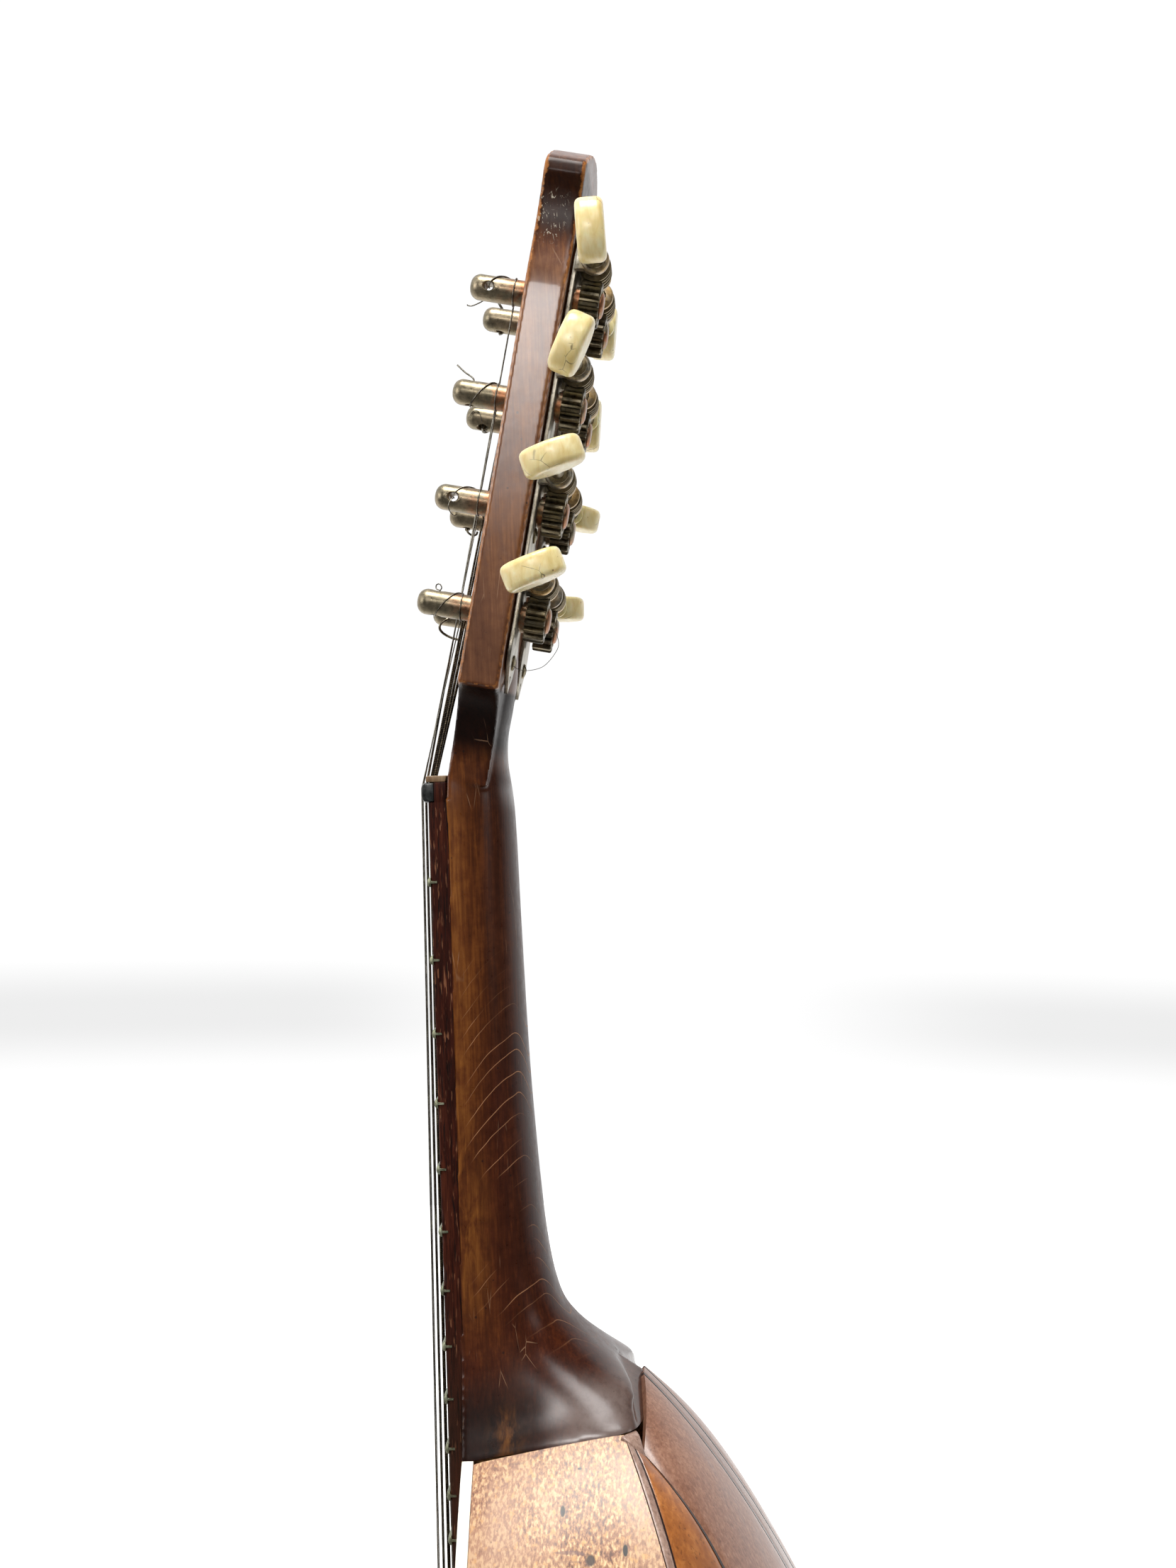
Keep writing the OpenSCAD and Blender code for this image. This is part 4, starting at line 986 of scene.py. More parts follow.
def facet_cut(ob, co, no, no2):
    """Takes a flat triangular facet off the heel: beyond one plane and past the line where it starts."""
    bm = bmesh.new()
    bmesh.ops.create_cube(bm, size=1.0)
    bm.transform(Matrix.Translation(W((0, 45, -137))) @ Matrix.Diagonal((0.08, 0.040, 0.040, 1)))
    for n in (no, no2):
        r = bmesh.ops.bisect_plane(bm, geom=list(bm.verts) + list(bm.edges) + list(bm.faces), plane_co=W(co), plane_no=Vector(n).normalized(), clear_inner=True, dist=1e-8)
        edges = [e for e in r["geom_cut"] if isinstance(e, bmesh.types.BMEdge)]
        bmesh.ops.contextual_create(bm, geom=edges)
    bmesh.ops.recalc_face_normals(bm, faces=bm.faces)
    me = bpy.data.meshes.new("c")
    bm.to_mesh(me)
    bm.free()
    c = bpy.data.objects.new("c", me)
    scene.collection.objects.link(c)
    boolean(ob, c, solver="MANIFOLD")


def half_space(ob, co, no):
    """Cuts away what lies beyond a plane, with a big box."""
    n = Vector(no).normalized()
    q = n.to_track_quat("Z", "Y")
    bm = bmesh.new()
    bmesh.ops.create_cube(bm, size=0.3)
    bm.transform(Matrix.Translation(W(co) + n * 0.15) @ q.to_matrix().to_4x4())
    me = bpy.data.meshes.new("c")
    bm.to_mesh(me)
    bm.free()
    c = bpy.data.objects.new("c", me)
    scene.collection.objects.link(c)
    boolean(ob, c, solver="MANIFOLD")


def side(i):
    return 1 if i <= 4 else -1


def post_s(i):
    return POST_S0 + (3 - (i - 1) % 4) * POST_PITCH


def coords(ob):
    co = np.empty(len(ob.data.vertices) * 3, np.float64)
    ob.data.vertices.foreach_get("co", co)
    co = co.reshape(-1, 3) * 1000
    co[:, 2] += YOKE
    return co


def convexity(ob):
    """How strongly each vertex sticks out of its neighbours, in mm per mm."""
    me = ob.data
    co = coords(ob)
    e = np.empty(len(me.edges) * 2, np.int64)
    me.edges.foreach_get("vertices", e)
    e = e.reshape(-1, 2)
    s = np.zeros_like(co)
    n = np.zeros(len(co))
    for a, b in ((0, 1), (1, 0)):
        np.add.at(s, e[:, a], co[e[:, b]])
        np.add.at(n, e[:, a], 1)
    nor = np.empty(len(co) * 3, np.float64)
    me.vertices.foreach_get("normal", nor)
    nor = nor.reshape(-1, 3)
    d = co - s / np.maximum(n, 1)[:, None]
    k = (d * nor).sum(1)
    for _ in range(2):
        t = np.zeros(len(co))
        for a, b in ((0, 1), (1, 0)):
            np.add.at(t, e[:, a], k[e[:, b]])
        k = 0.5 * k + 0.5 * t / np.maximum(n, 1)
    return k


def put_attr(ob, name, values):
    at = ob.data.attributes.get(name) or ob.data.attributes.new(name, "FLOAT", "POINT")
    at.data.foreach_set("value", np.asarray(values, np.float32))


def ss(x, a, b):
    t = np.clip((x - a) / (b - a), 0, 1)
    return t * t * (3 - 2 * t)


def neck_masks(ob):
    co = coords(ob)
    X, Y, Z = np.abs(co[:, 0]), co[:, 1], co[:, 2]
    s = Y * ST + (Z - HZ) * CT
    d = Y * CT - (Z - HZ) * ST
    zs = np.array([q[0] for q in NECK_ST][::-1], float)
    D = np.interp(Z, zs, np.array([q[2] for q in NECK_ST][::-1], float))
    hw = np.interp(Z, zs, np.array([q[1] for q in NECK_ST][::-1], float))
    yn = np.clip(Y / D, 0, 1.2)
    head = ss(s, 3, 9)
    neckm = 1 - head
    k = convexity(ob)
    wear = np.clip(k / 0.045, 0, 1.4)
    tone_neck = 0.02 + 0.46 * ss(-Z, 40, 85) + 0.80 * ss(yn, 0.12, 0.70)
    tone_neck = np.maximum(tone_neck, ss(-Z, 96, 128) * 0.92)
    tone_head = 0.45 + 0.25 * ss(s, 60, 25) - 0.1
    tone_head = np.where(d > 6.8, tone_head - 0.25, tone_head)
    tone = tone_neck * neckm + tone_head * head
    # painted shade: the dark mask darkens the back of the neck, the foot of the heel, the concave facet under the
    # shoulder and the hollow below the crest; the last term darkens a strip along the front edge of the head above the
    # shoulder
    dark = neckm * (0.30 * ss(yn, 0.62, 1.0) + 0.85 * ss(-Z, 124, 138) * ss(Y, 28, 12)) + 0.12 * ss(-Z, 118, 140)
    fac = ss(s, 5.5, 12) * ss(X, 25.6, 24.2) * ss(s, 23.6, 22.6)
    dark = np.maximum(dark, fac * 1.0)
    scoop = ss(s, 119, 127) * ss(s, 141.5, 138.5)
    dark = np.maximum(dark, 0.85 * scoop * ss(s, 114, 124))
    dark = np.maximum(dark, 0.30 * ss(s, 50, 30) * ss(s, 23, 26) * ss(d, 2.4, 0.4))
    rub = 0.75 * ss(X, 25.3, 25.8) * ss(s, 40, 60) * ss(s, 112, 100) * 0.5
    rub = rub + neckm * (0.30 * np.exp(-((Z + 95) / 16) ** 2 - ((Y - 3.5) / 4) ** 2) + 0.45 * ss(yn, 0.34, 0.10) * ss(Z, -120, -100) * ss(Z, 5, -5))
    rub = rub + 0.4 * neckm * np.exp(-((Z + 141) / 5) ** 2 - ((Y - 10) / 3) ** 2)
    xr = np.clip(X / np.maximum(hw, 1), 0, 1)
    R = 15.0 * (1 - (1 - np.clip(yn, 0, 1)) ** 1.7) - 7.0 * ss(xr, 0.62, 0.1)
    arc = Z - R
    scr = neckm * ss(-Z, 30, 52) * ss(-Z, 128, 112) * ss(yn, 0.10, 0.30)
    dust = ss(s, 120, 124) * ss(s, 134, 130) * ss(d, 7.5, 4.0) * ss(X, 8, 14)
    put_attr(ob, "side", head * ss(s, 22.6, 24.0) * ss(s, 124, 114) * 0.9)
    put_attr(ob, "tone", np.clip(tone, 0, 1))
    put_attr(ob, "dark", np.clip(dark, 0, 1))
    put_attr(ob, "rub", np.clip(rub, 0, 1))
    put_attr(ob, "wear", wear * (0.25 * neckm * ss(-Z, 8, 20) + ss(s, 20, 24)))
    put_attr(ob, "arc", arc)
    put_attr(ob, "scratch", scr)
    put_attr(ob, "dust", dust)
    gl = ss(-Z, 120, 134) * ss(Y, 16, 26) * neckm
    cw = 0.36 + 0.64 * head * ss(s, 48, 72) * ss(s, 118, 108) - 0.32 * np.clip(dark, 0, 1) - 0.16 * neckm * ss(yn, 0.3, 0.9)
    cw = cw + 0.85 * gl + 0.5 * ss(Z, -4, 2) * ss(s, 4, 0) * ss(yn, 0.55, 0.9)
    put_attr(ob, "coatw", np.clip(cw, 0.03, 1))
    # painted reflection: mask for the grey sheen painted low on the heel
    hz = neckm * ss(Y, 17, 28) * ss(Y, 41, 35) * ss(-Z, 127, 135)
    put_attr(ob, "painted_heel_sheen", np.clip(0.85 * hz, 0, 1))


neck = build_neck()
neck_masks(neck)
finish_piece(neck, "root", MAT["neck"], ["neck"], angle=28)


def heel_wedge(sg, tag):
    """Small scuffed filler at the foot of the heel, between it and the seam of the ribs."""
    pts = [(23.8, 35.2, -140.6), (24.3, 37.5, -142.2), (24.6, 41, -146.2), (21.5, 39.3, -141.2), (19.5, 38.6, -140.6), (19, 33, -147), (22.5, 34, -148), (21, 38, -149)]
    bm = bmesh.new()
    for x, y, z in pts:
        bm.verts.new(W((sg * x, y, z)))
    r = bmesh.ops.convex_hull(bm, input=bm.verts)
    bmesh.ops.delete(bm, geom=list({e for e in r["geom_interior"] + r["geom_unused"] if isinstance(e, bmesh.types.BMVert)}), context="VERTS")
    bmesh.ops.recalc_face_normals(bm, faces=bm.faces)
    me = bpy.data.meshes.new("heel_wedge_%s" % tag)
    bm.to_mesh(me)
    bm.free()
    ob = bpy.data.objects.new("heel_wedge_%s" % tag, me)
    scene.collection.objects.link(ob)
    bevel(ob, 0.35, 3, 20)
    finish_piece(ob, "root", MAT["seam_band"], angle=40)


for _sg, _tag in ((1, "right"), (-1, "left")):
    heel_wedge(_sg, _tag)


# ------------------------------------------------------------------ bowl
def w_of(t):
    if t < T_WIDE:
        return BOWL_HW * (1 - (1 - (t - 135.5) / (T_WIDE - 135.5)) ** 2.2) ** 0.62
    return BOWL_HW * max(0.0, 1 - ((t - T_WIDE) / (T_TAIL - T_WIDE)) ** 2.4) ** 0.5


def d_of(t):
    if t < T_WIDE:
        return BOWL_D * (1 - (1 - (t - 113.8) / (T_WIDE - 113.8)) ** 1.2115) ** 0.4955
    return BOWL_D * max(0.0, 1 - ((t - T_WIDE) / (T_TAIL - T_WIDE)) ** 2.5) ** 0.5


def y_top(t):
    return (t - T_CANT) * math.tan(CANT) if t > T_CANT else 0.0


SEAM_T0 = [146, 140.6, 145.2, 133.4]


def seam_t(k, f):
    return SEAM_T0[k] + (T_RIB - SEAM_T0[k]) * f


def seam_a(k, t):
    if k == 0:
        return 1.0
    if k == 1:
        return 0.94 + 0.02 * math.exp(-(t - 145) / 60) - 0.03 * math.exp(-(t - 140.6) / 6)
    return 0.64 + 0.33 * math.exp(-(t - 145) / 17) - 0.045 * math.exp(-(t - 145) / 3)


def seam_b(k, t):
    if k == 1:
        return 0.50 + 0.265 * math.exp(-(t - 140.6) / 110)
    return 0.816 + 0.10 * math.exp(-(t - 145) / 60) - 0.13 * math.exp(-(t - 145) / 8)


def seam(k, f):
    t = seam_t(k, f)
    w, d, y0 = w_of(seam_t(0, f)), d_of(t), y_top(t)
    if k == 0:
        return np.array([w, y0 + BIND_H + 0.04, -t])
    if k == 3:
        return np.array([2.6 + 2.6 * (1 - math.exp(-(t - 133) / 40)), d, -t])
    return np.array([w * seam_a(k, t), y0 + (d - y0) * seam_b(k, t), -t])


def unit(v):
    return v / (np.linalg.norm(v) + 1e-12)


def seam_n(k, f):
    e = 0.004
    f0, f1 = max(0, f - e), min(1, f + e)
    tf = seam(k, f1) - seam(k, f0)
    if k == 0:
        ts = seam(1, f) - seam(0, f)
    elif k == 3:
        q = seam(3, f)
        ts = np.array([-2 * q[0], 0, 0]) + 0.6 * unit(seam(3, f) - seam(2, f)) * np.linalg.norm(q)
    else:
        ts = seam(k + 1, f) - seam(k - 1, f)
    return unit(np.cross(tf, ts))


def under(p):
    return np.array([p[0], max(p[1], y_top(-p[2]) + BIND_H + 0.05), p[2]])


def rib_pt(k, f, s, th, crown):
    a, b, na, nb = seam(k, f), seam(k + 1, f), seam_n(k, f), seam_n(k + 1, f)
    n = unit(na + nb)
    c = crown * np.linalg.norm(b - a) * 4 * s * (1 - s)
    return under((a - na * th) * (1 - s) + (b - nb * th) * s + n * c)


def rib_piece(name, k, crown, mat, replaces, edge0, edge1, bass, n=170, m=14, raise_=0.0, part=None, chamfer=0.22):
    """A rib, or a strip of one, between edge0 mm from its upper seam and edge1 mm from its lower seam.
    part=(a, b) makes a strip from a to b mm from the upper seam; part=("end", a, b) from the lower seam."""
    rows, grain = [], []
    prev = None
    run = 0.0
    for i in range(n + 1):
        f = (1 - math.cos(math.pi * i / n)) / 2
        a, b = seam(k, f), seam(k + 1, f)
        width = float(np.linalg.norm(b - a)) * (1 + 2.6 * crown * crown)
        if part is None:
            s0, s1 = edge0 / width, 1 - edge1 / width
            if s1 - s0 < 0.06:
                c = 0.5 * (s0 + s1)
                s0, s1 = c - 0.03, c + 0.03
        elif part[0] == "end":
            s0, s1 = 1 - part[2] / width, 1 - part[1] / width
        else:
            s0, s1 = part[0] / width, part[1] / width
        s0, s1 = max(-0.02, min(0.98, s0)), max(0.02, min(1.02, s1))
        out, inn, g = [], [], []
        for j in range(m + 1):
            u = j / m
            # the two long edges are eased a little
            dist = min(u, 1 - u) * (s1 - s0) * width
            dip = chamfer * max(0.0, 1 - dist / (2.2 * chamfer)) ** 2 if chamfer else 0.0
            s = lerp(s0, s1, u)
            out.append(rib_pt(k, f, s, dip - raise_, crown))
            inn.append(rib_pt(k, f, s, 1.8, crown))
            g.append((s - 0.5) * width)
        mid = out[m // 2]
        if prev is not None:
            run += float(np.linalg.norm(mid - prev))
        prev = mid
        rows.append([tuple(p) for p in out] + [tuple(p) for p in reversed(inn)])
        grain.append([(q, 0.0, run) for q in g] + [(q, 2.0, run) for q in reversed(g)])
    v, f_ = loft(rows)
    gr = [q for r in grain for q in r]
    if bass:
        v = [(-p[0], p[1], p[2]) for p in v]
    me = bpy.data.meshes.new(name)
    me.from_pydata([W(p) for p in v], [], f_)
    me.update()
    ob = bpy.data.objects.new(name, me)
    scene.collection.objects.link(ob)
    at = me.attributes.new("grain", "FLOAT_VECTOR", "POINT")
    off = 0.37 if bass else 0.0
    at.data.foreach_set("vector", np.array([(q[0] * 0.001 + off, q[1] * 0.001, q[2] * 0.001) for q in gr], np.float32).ravel())
    bm = bmesh.new()
    bm.from_mesh(me)
    bmesh.ops.recalc_face_normals(bm, faces=bm.faces)
    bm.to_mesh(me)
    bm.free()
    return finish_piece(ob, "root", MAT[mat], replaces, angle=38)


for bass, tag in ((False, "treble"), (True, "bass")):
    rib_piece("side_rib_" + tag + "_visual", 0, 0.012, "side_rib", ["side_rib_" + tag], 0.0, 0.15, bass, m=16)
    rib_piece("edge_band_" + tag, 1, 0.045, "seam_band", [], 0, 0, bass, m=6, part=(0.1, 2.1), raise_=-0.05)
    rib_piece("band_line_" + tag, 1, 0.045, "seam_dark", [], 0, 0, bass, m=3, part=(2.1, 2.5), raise_=-0.1, chamfer=0)
    rib_piece("second_rib_" + tag + "_visual", 1, 0.045, "second_rib", ["second_rib_" + tag], 2.5, 0.45, bass)
    rib_piece("seam_line_" + tag, 1, 0.045, "seam_dark", [], 0, 0, bass, m=3, part=("end", -0.45, 0.45), raise_=-0.06, chamfer=0)
    rib_piece("third_rib_" + tag + "_visual", 2, 0.055, "third_rib", ["third_rib_" + tag], 0.45, 0.3, bass, m=22)


def centre_rib():
    rows, n = [], 170
    for i in range(n + 1):
        f = (1 - math.cos(math.pi * i / n)) / 2
        p = seam(3, f)
        nn = seam_n(3, f)
        w = p[0] - 0.3
        lift = 0.0
        out = []
        for j in range(7):
            u = -1 + 2 * j / 6
            dip = 0.2 * max(0, abs(u) - 0.7) / 0.3
            out.append((w * u, p[1] + 0.05 * (1 - u * u) * abs(nn[1]) - dip * nn[1], p[2] - dip * nn[2]))
        inn = [(q[0], q[1] - 1.7 * nn[1], q[2] - 1.7 * nn[2]) for q in reversed(out)]
        rows.append(out + inn)
    ob = new_object("centre_rib_visual", *loft(rows))
    at = ob.data.attributes.new("grain", "FLOAT_VECTOR", "POINT")
    co = coords(ob) * 0.001
    at.data.foreach_set("vector", np.column_stack([co[:, 0] + 0.7, co[:, 1] * 0, co[:, 2]]).astype(np.float32).ravel())
    finish_piece(ob, "root", MAT["centre_rib"], ["centre_rib"], angle=38)
    for bass, tag in ((False, "treble"), (True, "bass")):
        rib_piece("centre_line_" + tag, 2, 0.055, "seam_dark", [], 0, 0, bass, m=3, part=("end", -0.3, 0.3), raise_=-0.08, chamfer=0)


centre_rib()


# ------------------------------------------------------------------ top edge: binding
def outline_half(n=150, t0=T_JOINT - 0.4):
    pts = []
    for i in range(n + 1):
        f = (1 - math.cos(math.pi * i / n)) / 2
        t = t0 + (T_TAIL - 0.02 - t0) * f
        pts.append((w_of(t), t))
    pts[-1] = (0.0, T_TAIL)
    return pts


def outline_full(n=150, t0=T_JOINT - 0.4):
    h = outline_half(n, t0)
    return h + [(-x, t) for x, t in reversed(h[:-1])]


def offset_path(pts, d):
    out = []
    for i, (x, t) in enumerate(pts):
        a, b = pts[max(0, i - 1)], pts[min(len(pts) - 1, i + 1)]
        v = (b[0] - a[0], b[1] - a[1])
        l = math.hypot(*v) or 1
        out.append((x - v[1] / l * d, t + v[0] / l * d))
    return out


def binding():
    full = outline_full()
    prof = [(0.0, 0.5), (0.06, 0.22), (0.22, 0.05), (0.5, 0.0), (1.2, 0.0), (1.9, 0.02), (2.0, 0.1), (2.0, 2.6), (0.1, 2.6), (0.0, 2.5), (0.0, 1.5)]
    paths = {d: offset_path(full, d) for d in {p[0] for p in prof}}
    rows = []
    for i in range(len(full)):
        row = []
        for ins, h in prof:
            x, t = paths[ins][i]
            row.append((x, y_top(t) + h, -t))
        rows.append(row)
    ob = new_object("binding_visual", *loft(rows))
    return finish_piece(ob, "root", MAT["binding"], ["binding"], angle=40)


binding()


# ------------------------------------------------------------------ fingerboard, frets, nut
def fret_z(n):
    return SCALE * (1 - 2 ** (-n / 12))


FB_END = fret_z(17) + 5


def fb_y(z):
    return -(4 + (3.2 - 4) * (-z) / FB_END)


def fb_hw(z):
    return NECK_HW + (19.6 - NECK_HW) * (-z) / FB_END


def fingerboard():
    rows = []
    zs = [-0.6 - i * (FB_END - 0.6) / 420 for i in range(421)]
    for i, z in enumerate(zs):
        hw, top = fb_hw(z), fb_y(z)
        row = []
        r = 0.35
        nz = lambda a, b: noise.noise(Vector((a * 0.9, b * 0.6, z * 0.55)))
        frets_d = min(abs(-z - fret_z(k)) for k in range(0, 18))
        for sgx in (1, -1):
            chip = max(0.0, noise.noise(Vector((3.1 * sgx, 7.0, z * 0.33))) - 0.18) * 0.9
            chip += 0.55 * math.exp(-((z + 106) / 2.2) ** 2) * (1 if sgx > 0 else 0.3) + 0.3 * math.exp(-((z + 98.5) / 1.4) ** 2)
            e = [(hw - 0.06, 0.35), (hw - 0.01, 0.0), (hw, top * 0.35), (hw, top + r + chip * 0.8), (hw - r * 0.3 - chip * 0.25, top + r * 0.3 + chip * 0.35), (hw - r - chip * 0.7, top + 0.02)]
            e = [(x + 0.03 * nz(x, y), y + 0.03 * nz(y, x + 4)) for x, y in e]
            if sgx < 0:
                e = [(-x, y) for x, y in reversed(e)]
            row.append(e)
        # the board is worn hollow between the lower frets
        hollow = 0.12 * smooth01(min(1, frets_d / 5.0)) * math.exp(-((z + 45) / 60) ** 2)
        mid = [(hw * u, top + hollow * (0.5 + 0.5 * math.cos(u * 5.0)) + 0.02 * nz(u * 9, 2)) for u in (0.8, 0.55, 0.3, 0.0, -0.3, -0.55, -0.8)]
        bottom = [(-hw * 0.5, 0.35), (hw * 0.5, 0.35)]
        rows.append([(x, y, z) for x, y in row[0] + mid + row[1] + bottom])
    ob = new_object("fingerboard_visual", *loft(rows))
    tongue = new_object("t", *prism([(-NECK_HW, 3.9), (NECK_HW, 3.9), (NECK_HW, -1.5), (-NECK_HW, -1.5)], lambda x, z: (x, 0, z), lambda x, z: (x, -2.7, z)))
    bevel(tongue, 0.2, 2)
    ob = join([ob, tongue])
    finish_piece(ob, "root", MAT["fingerboard"], ["fingerboard"], angle=50)


fingerboard()


def frets():
    objs = []
    for k in range(1, 18):
        z0 = -fret_z(k)
        y0 = fb_y(z0)
        hw = fb_hw(z0) + 0.25
        rng = random.Random(40 + k)
        crown = [(1.05 * math.cos(a), -0.9 * math.sin(a) ** 0.85 if math.sin(a) > 0 else 0.0) for a in [math.pi * q / 14 for q in range(15)]]
        prof = crown + [(-1.05, 0.06), (-0.26, 0.06), (-0.24, 1.45), (0.24, 1.45), (0.26, 0.06), (1.05, 0.06)]
        rows = []
        n = 14
        for i in range(n + 1):
            u = -1 + 2 * i / n
            e = max(0.0, (abs(u) - 0.97) / 0.03)
            x = hw * u
            rows.append([(x - math.copysign(0.32 * max(0, -py) * e, u), y0 - 0.015 + (py if py > 0 else py * (1 - 0.12 * e)) + 0.02 * rng.random() * (1 if abs(u) < 0.9 else 0), z0 + pz) for pz, py in prof])
        ob = new_object("fret_%d" % k, *loft(rows))
        bevel(ob, 0.06, 1, 40)
        objs.append(ob)
    ob = join(objs)
    ob.name = "frets_visual"
    finish_piece(ob, "root", MAT["fret"], ["frets"], angle=40)


frets()

NUT_X = [11.6, 9.6, 4.8, 2.9, -2.7, -4.9, -9.4, -11.6]
STRING_R = [.14, .14, .18, .18, .26, .26, .34, .34]


def nut():
    prof = [(-2.72, -0.6), (-2.72, 3.9), (-4.6, 3.9), (-5.1, 3.75), (-5.45, 3.3), (-5.6, 2.5), (-5.62, 1.5), (-5.55, 0.5), (-5.3, -0.2), (-4.9, -0.55), (-4.3, -0.62)]
    n = 24
    rows = []
    for i in range(n + 1):
        u = -1 + 2 * i / n
        e = max(0.0, (abs(u) - 0.93) / 0.07)
        cy, cz = -4.1, 1.7
        k = 1 - 0.10 * e * e
        rows.append([(NECK_HW * u * (1 if abs(u) < 0.999 else 1), cy + (y - cy) * (k if y < cy else 1), cz + (z - cz) * k) for y, z in prof])
    ob = new_object("nut_visual", *loft(rows))
    bevel(ob, 0.25, 3, 30)
    cuts = []
    for x, r in zip(NUT_X, STRING_R):
        v, f = tube([(x, -5.62 - r + 0.06, -3), (x, -5.62 - r + 0.06, 6)], r + 0.10, 12)
        cuts.append(new_object("c", v, f))
    boolean(ob, join(cuts), solver="MANIFOLD")
    finish_piece(ob, "root", MAT["nut"], ["nut"], angle=40)
    ob = new_object("nut_strip_visual", *prism([(-0.1, 3.95), (-4.3, 3.95), (-4.52, 4.25), (-4.45, 5.25), (-4.1, 5.38), (0.2, 5.4)], lambda y, z: (-14.0, y, z), lambda y, z: (14.0, y, z)))
    bevel(ob, 0.22, 3, 30)
    finish_piece(ob, "root", MAT["bone_aged"], ["nut_strip"], angle=40)


nut()


# ------------------------------------------------------------------ soundboard and what sits on it
def fill_outline(name, pts, y0, y1, holes=(), ease=0.25):
    """A slab in the plane of the soundboard: outline pts (x, t) between depths y0 and y1, flat, without the bend."""
    v, f = prism([(x, t) for x, t in pts], lambda x, t: (x, y0, -t), lambda x, t: (x, y1, -t))
    return new_object(name, v, f)


def bend_y(ob):
    me = ob.data
    co = coords(ob)
    for i, vtx in enumerate(me.vertices):
        t = -co[i, 2]
        if t > T_CANT:
            vtx.co.y += y_top(t) * 0.001
    me.update()


def soundboard():
    half = offset_path(outline_half(120, T_JOINT - 0.2), BIND_W - 0.02)
    half = [(max(0.0, x), t) for x, t in half]
    half[-1] = (0.0, half[-1][1])
    # rows across the top at many stations, so that the bend and the grain have points to hold on to
    ts = [T_JOINT - 0.1 + i * (half[-1][1] - T_JOINT + 0.1) / 150 for i in range(151)]
    xs = np.interp(ts, [t for x, t in half], [x for x, t in half])
    for sg, tag in ((1, "treble"), (-1, "bass")):
        verts, faces = [], []
        m = 14
        for y in (0.0, TOP_T):
            for t, w in zip(ts, xs):
                for j in range(m + 1):
                    u = j / m
                    verts.append((sg * (0.012 + (max(w, 0.05) - 0.012) * u), y + y_top(t), -t))
        n = len(ts)
        idx = lambda layer, i, j: layer * n * (m + 1) + i * (m + 1) + j
        for i in range(n - 1):
            for j in range(m):
                faces.append((idx(0, i, j), idx(0, i, j + 1), idx(0, i + 1, j + 1), idx(0, i + 1, j)))
                faces.append((idx(1, i, j), idx(1, i + 1, j), idx(1, i + 1, j + 1), idx(1, i, j + 1)))
            faces.append((idx(0, i, 0), idx(0, i + 1, 0), idx(1, i + 1, 0), idx(1, i, 0)))
            faces.append((idx(0, i, m), idx(1, i, m), idx(1, i + 1, m), idx(0, i + 1, m)))
        for j in range(m):
            faces.append((idx(0, 0, j), idx(1, 0, j), idx(1, 0, j + 1), idx(0, 0, j + 1)))
            faces.append((idx(0, n - 1, j), idx(0, n - 1, j + 1), idx(1, n - 1, j + 1), idx(1, n - 1, j)))
        ob = new_object("soundboard_" + tag, verts, faces)
        oval = [(HOLE_A * math.cos(2 * math.pi * k / 120), HOLE_T + HOLE_B * math.sin(2 * math.pi * k / 120)) for k in range(120)]
        boolean(ob, fill_outline("c", oval, -3, 6), solver="MANIFOLD")
        boolean(ob, ring_cutter(HOLE_A + 6.3, HOLE_B + 6.3, HOLE_A + 2.3, HOLE_B + 2.3, -1, 0.8), solver="MANIFOLD")
        boolean(ob, fill_outline("c", guard_outline(0.0), -1, 0.8), solver="MANIFOLD")
        finish_piece(ob, "root", MAT["spruce"], ["soundboard"] if sg > 0 else [], angle=30)


def ring_mesh(name, a1, b1, a0, b0, y0, y1, n=144, bump_=0.0):
    rows = []
    for k in range(n):
        c, s = math.cos(2 * math.pi * k / n), math.sin(2 * math.pi * k / n)
        rows.append([(a1 * c, y0, -(HOLE_T + b1 * s)), (a0 * c, y0, -(HOLE_T + b0 * s)), (a0 * c, y1, -(HOLE_T + b0 * s)), (a1 * c, y1, -(HOLE_T + b1 * s))])
    v, f = [], []
    for r in rows:
        v += r
    for i in range(n):
        j = (i + 1) % n
        for q in range(4):
            p = (q + 1) % 4
            f.append((i * 4 + q, i * 4 + p, j * 4 + p, j * 4 + q))
    return new_object(name, v, f)


def ring_cutter(a1, b1, a0, b0, y0, y1):
    return ring_mesh("c", a1, b1, a0, b0, y0, y1)


GUARD = [(-31, 268), (-33, 274), (-28, 283), (-15, 290), (-6, 299), (0, 304), (6, 299), (15, 290), (28, 283), (33, 274), (31, 268), (18, 270), (0, 271), (-18, 270)]


def guard_outline(inset):
    corner = {5: 1, 0: 1, 10: 1}
    pts = []
    seq = [GUARD[i] for i in (10, 9, 8, 7, 6, 5)]
    pts += catmull(seq, 8)
    pts += catmull([GUARD[i] for i in (5, 4, 3, 2, 1, 0)], 8)[1:]
    pts += catmull([GUARD[i] for i in (0, 13, 12, 11, 10)], 8)[1:-1]
    cx, ct = 0.0, 280.0
    if inset:
        pts = [(cx + (x - cx) * (1 - inset / 32.0), ct + (t - ct) * (1 - inset / 18.0)) for x, t in pts]
    return pts


